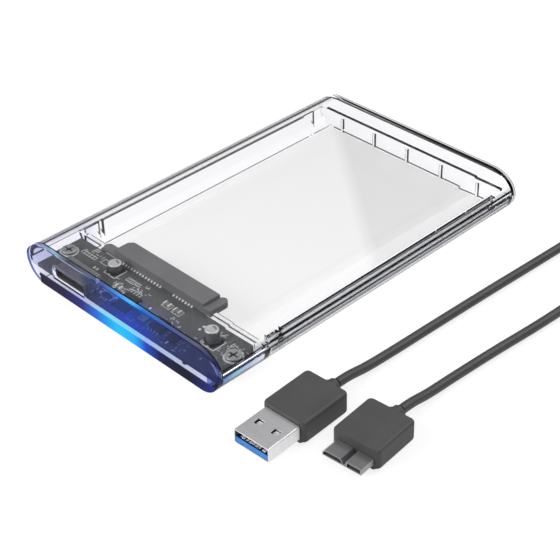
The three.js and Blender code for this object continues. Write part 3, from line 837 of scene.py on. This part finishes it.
def makePrint():
    bars = boxes(boardPrint["boxes"])
    bars += [stroke(*ends) for ends in boardPrint["strokes"]]
    for node in ("can_capacitor_left", "can_capacitor_right"):
        bars += canCorner(node)
    bars += marks(boardPrint["fields"], boardPrint["seeds"][0])
    dress(rounded(joined("board_print", bars), 0.008 * mm, 1), printInk, "board_laminate")
    # Painted light: the marks near the lamp glow, as if they catch its light.
    bars = boxes(boardPrint["litBoxes"]) + marks(boardPrint["litFields"], boardPrint["seeds"][1])
    dress(rounded(joined("lit_board_print", bars), 0.008 * mm, 1), litInk, "board_laminate")


def makePads():
    height = boardPrint["padHeight"] * mm
    pads = []
    for x, y, width, depth in boardPrint["pads"]:
        centre, half = Vector((x, y, 0)) * mm, Vector((width, depth, 0)) * mm / 2
        low, high = centre - half, centre + half
        pads.append(box("pad", (low.x, low.y, boardTop), (high.x, high.y, boardTop + height)))
    whole = joined("solder_pads", pads)
    bevelWhere(whole, upright, 0.12 * mm, 3)
    bevelWhere(whole, atHeight(boardTop + height), 0.03 * mm, 2)
    for node in ("board_screw_left", "board_screw_right"):
        x, y = middle(node).xy
        radius = (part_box(node)[1].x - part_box(node)[0].x) / 2 + boardPrint["screwRing"] * mm
        ring = cylinder("ring", (x, y, boardTop + height / 2), radius, height)
        cutBy(ring, cylinder("hole", (x, y, boardTop), boardPrint["screwHole"] * mm, 1 * mm))
        whole = joined("solder_pads", [whole, ring])
    dress(smooth(whole), tin, "can_metal")


makePrint()
makePads()
print("board printed")

# Cross-head screws: a domed head with a cross recess, and a threaded shank.
screw = {
    "dome": 0.26,
    "recessDepth": 0.55,
    "recessArm": 1.6,
    "recessHalf": 0.36,
    "shank": 0.78,
    "thread": 0.93,
    "pitch": 0.42,
}
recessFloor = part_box("board_screw_left")[1].z / mm - screw["recessDepth"]
# Painted shade: the floor of the cross recess is darkened.
paintedRecessShade = band((34, 34, 37), z=(recessFloor - 0.1, recessFloor + 0.08))
screwSteel = solidFinish(
    "screw steel", [(168, 168, 170), (184, 184, 186)], (0.32, 0.44), 0.6, 2600, 0.006, 90, bands=[paintedRecessShade]
)


def makeScrew(node):
    low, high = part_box(node)
    x, y = middle(node).xy
    headBase = boardTop + 0.1 * mm
    radius, height = (high.x - low.x) / 2, high.z - headBase
    head = cylinder(node + "_shape", (x, y, headBase + height / 2), radius, height, 56)
    bevelWhere(head, atHeight(high.z), screw["dome"] * mm, 5)
    arm, half, depth = (screw[key] * mm for key in ("recessArm", "recessHalf", "recessDepth"))
    floor, top = high.z - depth, high.z + 1 * mm
    for wide, deep in ((arm, half), (half, arm)):
        cutBy(head, box("slot", (x - wide, y - deep, floor), (x + wide, y + deep, top)))
    rounded(head, 0.05 * mm, 2, 50)
    shankMiddle = (x, y, (low.z + headBase) / 2 + 0.1 * mm)
    shank = cylinder("shank", shankMiddle, screw["shank"] * mm, headBase - low.z + 0.1 * mm, 24)
    rings = []
    pitch = screw["pitch"] * mm
    place = low.z + pitch
    while place < headBase - 0.2 * mm:
        for side, flip in ((1, 0), (-1, math.pi)):
            deselect()
            bpy.ops.mesh.primitive_cone_add(
                vertices=24,
                radius1=screw["thread"] * mm,
                radius2=screw["shank"] * mm,
                depth=pitch / 2,
                location=(x, y, place + side * pitch / 4),
                rotation=(flip, 0, 0),
            )
            rings.append(settle(bpy.context.object, "thread"))
        place += pitch
    whole = joined(node + "_shape", [head, shank, *rings])
    dress(smooth(whole, 40, flatFaces=True), screwSteel, "screw_steel", node)


makeScrew("board_screw_left")
makeScrew("board_screw_right")

# Round capacitors: a metal can with a rolled groove and a dished top, on a black foot with two tinned tabs.
can = {
    "foot": 0.9,
    "radius": 2,
    "roll": 0.28,
    "grooveAt": 0.55,
    "groove": 0.16,
    "rim": 0.3,
    "dish": 0.07,
    "mark": 0.62,
    "markGap": 0.08,
    "markThick": 0.03,
    "footCorner": 1.05,
    "lidDepth": 0.3,
    "lidShade": (214, 214, 216),
    "tab": (0.9, 0.5, 0.12, [(0.25, 0)]),
}


def makeCan(node):
    low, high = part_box(node)
    x, y = middle(node).xy
    footTop = low.z + can["foot"] * mm
    radius = can["radius"] * mm
    body = cylinder(node + "_can", (x, y, (footTop + high.z) / 2), radius, high.z - footTop, 56)
    grooveAt = footTop + can["grooveAt"] * mm
    for offset in (-can["groove"], 0, can["groove"]):
        pick(body, "FACE", lambda face: True)
        bpy.ops.mesh.bisect(plane_co=(x, y, grooveAt + offset * mm), plane_no=(0, 0, 1))
        finishEdit()
    bevelWhere(body, atHeight(grooveAt), can["groove"] * 0.6 * mm, 2)
    pick(body, "VERT", lambda vertex: abs(vertex.co.z - grooveAt) < can["groove"] * 0.7 * mm)
    share = 1 - can["groove"] * mm / radius
    bpy.ops.transform.resize(value=(share, share, 1), center_override=(x, y, grooveAt))
    finishEdit()
    bevelWhere(body, atHeight(high.z), can["roll"] * mm, 4)
    pick(body, "FACE", lambda face: face.normal.z > 0.99 and face.calc_center_median().z > high.z - 0.01 * mm)
    bpy.ops.mesh.inset(thickness=can["rim"] * mm)
    bpy.ops.transform.translate(value=(0, 0, -can["dish"] * mm))
    finishEdit()
    # The sleeve is dark and the bare top is bright.
    lid = band(can["lidShade"], z=(high.z / mm - can["lidDepth"], high.z / mm + 0.1))
    sleeve = solidFinish(
        node + " sleeve", [(112, 112, 116), (124, 124, 128)], (0.35, 0.5), 0.6, 5200, 0.004, 400, bands=[lid]
    )
    dress(smooth(body, 40), sleeve, "can_metal", node)

    gap, thick = can["markGap"], can["markThick"] * mm
    markTop = high.z - (can["dish"] - 0.035) * mm
    markRadius = radius - (can["roll"] + can["rim"] + gap) * mm
    mark = cylinder(node + "_mark", (x, y, markTop - 0.02 * mm), markRadius, thick)
    pick(mark, "FACE", lambda face: True)
    edge = (x, y + can["mark"] * mm, markTop)
    bpy.ops.mesh.bisect(plane_co=edge, plane_no=(0.25, 1, 0), use_fill=True, clear_inner=True)
    finishEdit()
    dress(rounded(mark, 0.006 * mm, 1), darkInk, "can_metal")

    foot = box(node + "_foot", low, (high.x, high.y, footTop))
    bevelWhere(foot, lambda edge: upright(edge) and edge.verts[0].co.y < y, can["footCorner"] * mm)
    cutBy(foot, cylinder("seat", (x, y, footTop), radius + 0.06 * mm, 0.5 * mm))
    rounded(foot, 0.08 * mm, 2)
    dress(smooth(foot), chipPlastic, "black_insulator")
    tab = bentStrip("tab", *can["tab"])
    bevelWhere(tab, upright, 0.1 * mm, 2)
    places = [(x, y, low.z - 0.02 * mm) for y in (high.y - 0.2 * mm, low.y - 0.45 * mm)]
    dress(repeated(tab, node + "_tabs", places), tin, "can_metal")


makeCan("can_capacitor_left")
makeCan("can_capacitor_right")
print("screws and cans made")

# Chips and small parts, with their legs, pads and tinned ends.
leg = {"width": 0.4, "thick": 0.15, "rise": 0.55, "reach": 0.85}
chips = {
    "dot": (0.32, 0.12),
    "bridgePitch": 0.56,
    "bridgePad": (0.14, 0.24, 0.2),
    "memoryPitch": 1.27,
    "regulatorPitches": (1.9, 0.95),
    "well": (0.95, 0.3),
    "crystalBase": 0.35,
    "crystalInset": 0.18,
}


def makeLeg(name, width, reach, drop, thick):  # a bent leg to +Y from the origin, its foot at height 0
    bent = box(name, (-width / 2, -0.1 * mm, drop - thick), (width / 2, reach * 0.25, drop))
    extendTip(bent, (0, 1, 0), (0, reach * 0.2, thick - drop))
    extendTip(bent, (0, 1, 0), (0, reach * 0.55, 0))
    return rounded(bent, thick * 0.2, 1)


def chipBody(node, chamfer, dotAt=None):
    low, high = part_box(node)
    body = box(node + "_shape", low, high)
    bevelWhere(body, atHeight(high.z), chamfer * mm)
    if dotAt:
        radius, depth = chips["dot"]
        place = (low.x + dotAt * mm, low.y + dotAt * mm, high.z)
        cutBy(body, cylinder("dot", place, radius * mm, depth * mm, 24))
    rounded(body, 0.05 * mm, 2, 30)
    return dress(smooth(body, 30), chipPlastic, "chip_plastic", node)


def chipLegs(node, backPlaces, frontPlaces):
    low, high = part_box(node)
    width, thick, rise, reach = (leg[key] * mm for key in ("width", "thick", "rise", "reach"))
    rows = []
    for turn, edge, xs in ((0, high.y, backPlaces), (180, low.y, frontPlaces)):
        single = turned(makeLeg(node + "_legs", width, reach, rise, thick), turn)
        rows.append(repeated(single, node + "_legs", [(x, edge, boardTop + 0.02 * mm) for x in xs]))
    dress(joined(node + "_legs", rows), tin, "can_metal")


def makeChips():
    chipBody("bridge_chip", 0.12, 0.9)
    low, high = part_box("bridge_chip")
    centre = middle("bridge_chip")
    x, y, z = Vector(chips["bridgePad"]) * mm
    xs, ys = (spread(place, 9, chips["bridgePitch"] * mm) for place in centre.xy)
    pads = [box("bridge_pads", (-x, -y, 0), (x, y, z)) for side in range(2)]
    bevelWhere(turned(pads[1], 90), upright, 0.04 * mm)
    rows = [
        repeated(pads[0], "bridge_pads", [(x, y, boardTop) for x in xs for y in (low.y, high.y)]),
        repeated(pads[1], "bridge_pads", [(x, y, boardTop) for y in ys for x in (low.x, high.x)]),
    ]
    dress(rounded(joined("bridge_pads", rows), 0.03 * mm, 1), tin, "can_metal")

    chipBody("memory_chip", 0.25, 0.8)
    xs = spread(middle("memory_chip").x, 4, chips["memoryPitch"] * mm)
    chipLegs("memory_chip", xs, xs)

    chipBody("voltage_regulator", 0.18)
    centre = middle("voltage_regulator").x
    back, front = (pitch * mm for pitch in chips["regulatorPitches"])
    chipLegs("voltage_regulator", spread(centre, 2, back), spread(centre, 3, front))

    inductor = chipBody("power_inductor", 0.2)
    bevelWhere(inductor, lambda edge: upright(edge) and edge.calc_length() > 0.5 * mm, 0.25 * mm, 3)
    x, y = middle("power_inductor").xy
    radius, depth = chips["well"]
    cutBy(inductor, cylinder("well", (x, y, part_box("power_inductor")[1].z), radius * mm, depth * mm, 32))
    smooth(inductor)

    low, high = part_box("timing_crystal")
    split = low.z + chips["crystalBase"] * mm
    base = box("timing_crystal_base", low, (high.x, high.y, split))
    bevelWhere(base, upright, 0.25 * mm, 3)
    dress(smooth(rounded(base, 0.04 * mm, 1)), ceramic, "chip_ceramic")
    inset = chips["crystalInset"] * mm
    inset = Vector((inset, inset, 0))
    lid = box("timing_crystal_lid", Vector((low.x, low.y, split)) + inset, high - inset)
    bevelWhere(lid, upright, 0.25 * mm, 4)
    bevelWhere(lid, atHeight(high.z), 0.12 * mm, 3)
    dress(smooth(lid), steel, "can_metal", "timing_crystal")


def makeCapacitor(node, inner=0.04 * mm, cap=0.45 * mm):
    low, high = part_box(node)
    longWay = 0 if high.x - low.x > high.y - low.y else 1
    body = box(node + "_shape", low + Vector((inner, inner, 0)), high - Vector((inner, inner, inner)))
    dress(smooth(rounded(body, 0.05 * mm, 2)), ceramic, "chip_ceramic", node)
    ends = []
    for start in (low[longWay], high[longWay] - cap):
        corner, far = low.copy(), high.copy()
        corner[longWay], far[longWay] = start, start + cap
        ends.append(box("end", corner, far))
    dress(smooth(rounded(joined(node + "_ends", ends), 0.07 * mm, 3)), tin, "can_metal")


def makeLamp(inset=Vector((0.25, 0.05, 0)) * mm):
    low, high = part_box("activity_light")
    split = low.z + 0.4 * mm
    base = box("activity_light_base", low, (high.x, high.y, split))
    dress(smooth(rounded(base, 0.05 * mm, 2)), lampBody, "light_lens")
    lens = box("activity_light_lens", Vector((low.x, low.y, split)) + inset, high - inset)
    bevelWhere(lens, atHeight(high.z), 0.3 * mm, 5)
    dress(smooth(lens, 50), lampLens, "light_lens", "activity_light")


makeChips()
for number in (1, 2, 3):
    makeCapacitor("ceramic_capacitor_" + str(number))
makeLamp()
print("chips made")

# The drive connector: its housing, 22 spring contacts in the slots, and a tail to the board for each.
driveSocket = {
    "edge": 0.16,
    "pitch": 1.27,
    "slotDepth": 4.6,
    "spring": (0.62, 2.07, 0.16, [(0.92, 0.4), (0.552, 0), (0.552, -0.3)]),
    "tail": (0.62, 0.6, 0.4, 0.16),
    "slots": [(1.4, 21.6, 15), (23, 37.2, 7)],
    "bodyLeft": -22.5,
    "wallUnder": 0.6,
    "depth": 6.4,
}


def contactPlaces():
    places = []
    for start, end, count in driveSocket["slots"]:
        centre = driveSocket["bodyLeft"] + (start + end) / 2
        places += spread(centre * mm, count, driveSocket["pitch"] * mm)
    return places


def makeDriveSocket():
    finished = finer("drive_connector", "drive_connector_housing", driveSocket["edge"], 3)
    dress(finished, connectorPlastic, "connector_plastic", "drive_connector")
    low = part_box("drive_connector")[0]
    front, back = low.y, low.y + driveSocket["depth"] * mm
    slotFloor = low.z + driveSocket["wallUnder"] * mm
    spring = rounded(bentStrip("drive_contacts", *driveSocket["spring"]), 0.03 * mm, 1)
    inside = back - driveSocket["slotDepth"] * mm
    places = [(x, inside + 0.05 * mm, slotFloor + 0.02 * mm) for x in contactPlaces()]
    dress(smooth(repeated(spring, "drive_contacts", places)), gold, "can_metal")
    tail = turned(makeLeg("drive_tails", *(size * mm for size in driveSocket["tail"])), 180)
    places = [(x, front, boardTop + 0.02 * mm) for x in contactPlaces()]
    dress(repeated(tail, "drive_tails", places), tin, "can_metal")


makeDriveSocket()

# The port: a stepped metal shell with a flared mouth, its insulator and its contacts.
port = {
    "edge": 0.09,
    "tongueEdge": 0.05,
    "foot": (0.3, 1.3, 0.7),
    "footGap": (0.32, 0.02),
    "footEnds": (2.2, 1.8),
    "strip": (0.45, 3.6, 0.06, [(0.4, -0.04)], -1),
    "wideStrips": (3.9, 5, 1),
    "squareStrips": (-2.6, 5, 0.8),
}


def makePort():
    shell = finer("usb_port_shell", "port_shell", port["edge"], 2, 30)
    dress(shell, darkSteel, "port_steel", "usb_port_shell")
    low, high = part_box("usb_port_shell")
    foot = box("port_feet", (0, 0, 0), Vector(port["foot"]) * mm)
    extendTip(foot, (0, 0, -1), (0, 0, -0.2 * mm))
    rounded(foot, 0.05 * mm, 1)
    left, right = low.x - port["footGap"][0] * mm, high.x + port["footGap"][1] * mm
    ends = (low.y + port["footEnds"][0] * mm, high.y - port["footEnds"][1] * mm)
    feet = repeated(foot, "port_feet", [(x, y, boardTop + 0.22 * mm) for y in ends for x in (left, right)])
    dress(feet, steel, "port_steel")
    tongue = finer("usb_port_tongue", "port_tongue", port["tongueEdge"])
    dress(tongue, blackInsulator, "black_insulator", "usb_port_tongue")
    low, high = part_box("usb_port_tongue")
    under = (low.z + high.z) / 2 + 0.4 * mm
    strip = bentStrip("port_contacts", *port["strip"])
    xs = []
    for side, (place, count, pitch) in ((low.x, port["wideStrips"]), (high.x, port["squareStrips"])):
        xs += spread(side + place * mm, count, pitch * mm)
    strips = repeated(strip, "port_contacts", [(x, low.y + 0.6 * mm, under) for x in xs])
    dress(rounded(strips, 0.015 * mm, 1), gold, "port_steel")


makePort()
print("drive connector and port made")

# The two plugs. Each is built at the origin, its nose to -Y, and then put in its place.
collar = {"collar": 2.6, "collarEnd": 1.95, "collarLength": 2.8, "corner": 1.5}
largePlug = {
    **collar,
    "turn": 2.5,
    "grip": (14.6, 17.5, 7),
    "rim": 1.15,
    "shellMiddle": 5.875,
    "flat": (1, 6.5, 0.07, [(0.5, -0.05)], -1),
    "bump": (0.7, 0.7, 0.1, [(0.7, 0.45), (0.7, -0.4)]),
    "spring": (1.6, 1.1, 0.18, [(0.9, -0.55)], -1),
}
smallPlug = {
    **collar,
    "turn": 5,
    "grip": (14.8, 16, 6.5),
    "rim": 1.05,
    "shellMiddle": 2.675,
    "tooth": (0.34, 3.2, 0.12, [(0.5, 0.12), (0.5, -0.18)], -1),
}


def plugPlace(plug, shell, grip):  # the middle of the grip's front face, on the table side
    turn = Matrix.Rotation(math.radians(plug["turn"]), 4, "Z")
    start = middle(shell) + turn.to_3x3() @ Vector((0, plug["shellMiddle"] * mm, 0))
    return Matrix.Translation((start.x, start.y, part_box(grip)[0].z)) @ turn


def lyingCone(name, radius, endRadius, y0, y1, z, sides=48):
    deselect()
    bpy.ops.mesh.primitive_cone_add(
        vertices=sides,
        radius1=radius,
        radius2=endRadius,
        depth=y1 - y0,
        location=(0, (y0 + y1) / 2, z),
        rotation=(-math.pi / 2, 0, 0),
    )
    return settle(bpy.context.object, name)


def behindFront(edge):
    return not upright(edge) and min(vertex.co.y for vertex in edge.verts) > 0.01 * mm


def makeGrip(plug, node, name, place):
    width, length, height = (size * mm for size in plug["grip"])
    grip = box(name, (-width / 2, 0, 0), (width / 2, length, height))
    bevelWhere(grip, upright, plug["corner"] * mm, 6)
    back, front = 0.9 * plug["rim"] * mm, 0.35 * plug["rim"] * mm
    bevelWhere(grip, behindFront, back, 5)
    rounded(grip, front, 3, 50)
    wide, narrow, reach = (plug[key] * mm for key in ("collar", "collarEnd", "collarLength"))
    flange = lyingCone("flange", wide, wide, length - 1 * mm, length + 0.9 * mm, height / 2)
    rounded(flange, 0.3 * mm, 3)
    sleeve = lyingCone("sleeve", wide - 0.35 * mm, narrow, length, length + reach, height / 2)
    rounded(sleeve, 0.2 * mm, 3)
    joinedSolid(grip, flange, sleeve)
    smooth(grip, 45, flatFaces=True)
    dress(placed(grip, place, name), gripPlastic, "grip_plastic", node)


def makeLargePlug():
    place = plugPlace(largePlug, "usb_plug_shell", "usb_plug_grip")
    makeGrip(largePlug, "usb_plug_grip", "large_plug_grip", place)
    shell = finer("usb_plug_shell", "large_plug_shell", 0.11, 3, 40)
    dress(shell, steel, "plug_steel", "usb_plug_shell")
    core = finer("usb_plug_insulator", "large_plug_core", 0.08)
    dress(core, blueInsulator, "blue_insulator", "usb_plug_insulator")
    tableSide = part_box("usb_plug_grip")[0].z
    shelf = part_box("usb_plug_insulator")[1].z - tableSide
    flat = bentStrip("flat", *largePlug["flat"])
    flats = repeated(flat, "large_plug_contacts", [(x * mm, -10.4 * mm, shelf) for x in (-3.5, -1, 1, 3.5)])
    bump = bentStrip("bump", *largePlug["bump"])
    bumps = repeated(bump, "bumps", [(x * mm, -10.9 * mm, shelf + 0.08 * mm) for x in (-4, -2.1, 0, 2.1, 4)])
    contacts = rounded(joined("large_plug_contacts", [flats, bumps]), 0.02 * mm, 1)
    dress(smooth(placed(contacts, place, "large_plug_contacts")), tin, "plug_steel")
    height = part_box("usb_plug_shell")[1].z - tableSide - 0.75 * mm
    spring = rounded(bentStrip("spring", *largePlug["spring"]), 0.04 * mm, 2)
    springs = repeated(spring, "large_plug_springs", [(x * mm, -5.6 * mm, height) for x in (-2.9, 2.9)])
    dress(smooth(placed(springs, place, "large_plug_springs")), steel, "plug_steel")


def makeSmallPlug():
    place = plugPlace(smallPlug, "micro_plug_shell", "micro_plug_grip")
    makeGrip(smallPlug, "micro_plug_grip", "small_plug_grip", place)
    shell = finer("micro_plug_shell", "small_plug_shell", 0.08, 2, 30)
    dress(shell, darkSteel, "plug_steel", "micro_plug_shell")
    for side in ("wide", "square"):
        node = "micro_plug_tongue_" + side
        dress(finer(node, "small_plug_tongue_" + side, 0.05), blackInsulator, "black_insulator", node)
    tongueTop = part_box("micro_plug_tongue_wide")[1].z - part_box("micro_plug_grip")[0].z
    tooth = rounded(bentStrip("tooth", *smallPlug["tooth"]), 0.02 * mm, 1)
    xs = spread(-2.7 * mm, 5, 0.85 * mm) + spread(3.75 * mm, 5, 0.72 * mm)
    teeth = repeated(tooth, "small_plug_contacts", [(x, -3.65 * mm, tongueTop) for x in xs])
    dress(placed(teeth, place, "small_plug_contacts"), tin, "plug_steel")


makeLargePlug()
makeSmallPlug()
print("plugs made")

# The band that holds the coil: woven, with its loose end lapped over.
tieBand = {"edge": 0.22, "lap": 7.5, "lapInset": 0.3, "weave": {"Scale": 420, "Distortion": 0.6}}


def makeBandFinish():
    material, tree, shader = newMaterial("woven band")
    where = ownPlace(tree)
    rows = []
    for direction in ("X", "Y"):
        wave = addNode(tree, "TexWave", {"Vector": where, **tieBand["weave"]}, bands_direction=direction)
        rows.append(wave.outputs["Fac"])
    weave = calculated(tree, "MULTIPLY", *rows)
    shades = ramp(tree, weave, [(0.1, tone(26, 26, 27)), (0.7, tone(56, 56, 58))])
    feed(tree, shader, {"Base Color": shades, "Roughness": 0.85, "Sheen Weight": 0.2})
    addBump(tree, shader, weave, 0.6, 0.08 * mm)
    return material


def makeTie():
    bent = finer("cable_tie", "coil_band", tieBand["edge"], 3)
    low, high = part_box("cable_tie")
    centre = middle("cable_tie")
    across = (high.x - low.x) / 2 - tieBand["lapInset"] * mm
    along = tieBand["lap"] * mm / 2
    lapLow = (centre.x - across, centre.y - along, high.z - 0.35 * mm)
    lap = box("lap", lapLow, (centre.x + across, centre.y + along, high.z - 0.02 * mm))
    bevelWhere(lap, upright, 0.8 * mm, 4)
    joinedSolid(bent, lap)
    dress(smooth(bent), makeBandFinish(), "tie_band", "cable_tie")


makeTie()
print("tie made")

# Floor, world and lamps.
stage = {
    "floorSize": 8,
    "floorDrop": 0.2 * mm,
    "bounceColor": (0.36, 0.36, 0.365, 1),
    "seenGlow": 0.76,
    "seenShade": (0.34, 0.34, 0.34, 1),
    "worldStops": [(0, 0.75), (0.5, 0.3), (0.52, 0.06), (0.72, 0.13), (0.85, 0.36), (1, 0.6)],
    "aim": (0.01, 0, 0),
    "lamps": {
        "key": {"place": (-0.45, -0.95, 0.62), "size": 0.7, "power": 10},
        "fill": {"place": (0.75, -0.1, 0.5), "size": 0.5, "power": 0.9},
        "back": {"place": (0.3, 0.65, 0.85), "size": 0.6, "power": 4.5},
    },
}


def seenByEye(tree):  # 1 for what is seen straight on, through something clear, or in something shiny
    path = addNode(tree, "LightPath", {}).outputs
    clear = calculated(tree, "MAXIMUM", path["Is Camera Ray"], path["Is Transmission Ray"])
    return calculated(tree, "MAXIMUM", clear, path["Is Glossy Ray"])


def makeFloor():
    deselect()
    bpy.ops.mesh.primitive_plane_add(size=stage["floorSize"], location=(0, 0, -stage["floorDrop"]))
    floor = settle(bpy.context.object, "floor")
    material = bpy.data.materials.new("floor")
    tree = emptyTree(material)
    bounce = addNode(tree, "BsdfDiffuse", {"Color": stage["bounceColor"]})
    shade = addNode(tree, "BsdfDiffuse", {"Color": stage["seenShade"]})
    glow = addNode(tree, "Emission", {"Strength": stage["seenGlow"]})
    seen = addNode(tree, "AddShader", {0: shade, 1: glow})
    mix = addNode(tree, "MixShader", {0: seenByEye(tree), 1: bounce, 2: seen})
    addNode(tree, "OutputMaterial", {0: mix})
    floor.data.materials.append(material)


def makeWorld():
    world = bpy.data.worlds.new("studio")
    bpy.context.scene.world = world
    tree = emptyTree(world)
    direction = addNode(tree, "TexCoord", {}).outputs["Generated"]
    height = spanOf(tree, addNode(tree, "SeparateXYZ", {0: direction}).outputs["Z"], -1, 1)
    shades = ramp(tree, height, [(place, (level, level, level)) for place, level in stage["worldStops"]])
    straight = addNode(tree, "LightPath", {}).outputs["Is Camera Ray"]
    background = addNode(tree, "Background", {0: blended(tree, straight, shades, (1, 1, 1, 1))})
    addNode(tree, "OutputWorld", {0: background})


def makeLamps():
    aim = Vector(stage["aim"])
    for name, lamp in stage["lamps"].items():
        light = bpy.data.lights.new(name, "AREA")
        light.size = lamp["size"]
        light.energy = lamp["power"]
        holder = newObject(name, light)
        place = Vector(lamp["place"])
        holder.location = place
        holder.rotation_euler = (place - aim).to_track_quat("Z", "Y").to_euler()


makeFloor()
makeWorld()
makeLamps()
bpy.context.scene.view_settings.view_transform = "Standard"
print("stage lit")

onCord = ["coil_band"]
onCord += ["large_plug_" + part for part in ("grip", "shell", "core", "contacts", "springs")]
onCord += ["small_plug_" + part for part in ("grip", "shell", "tongue_wide", "tongue_square", "contacts")]
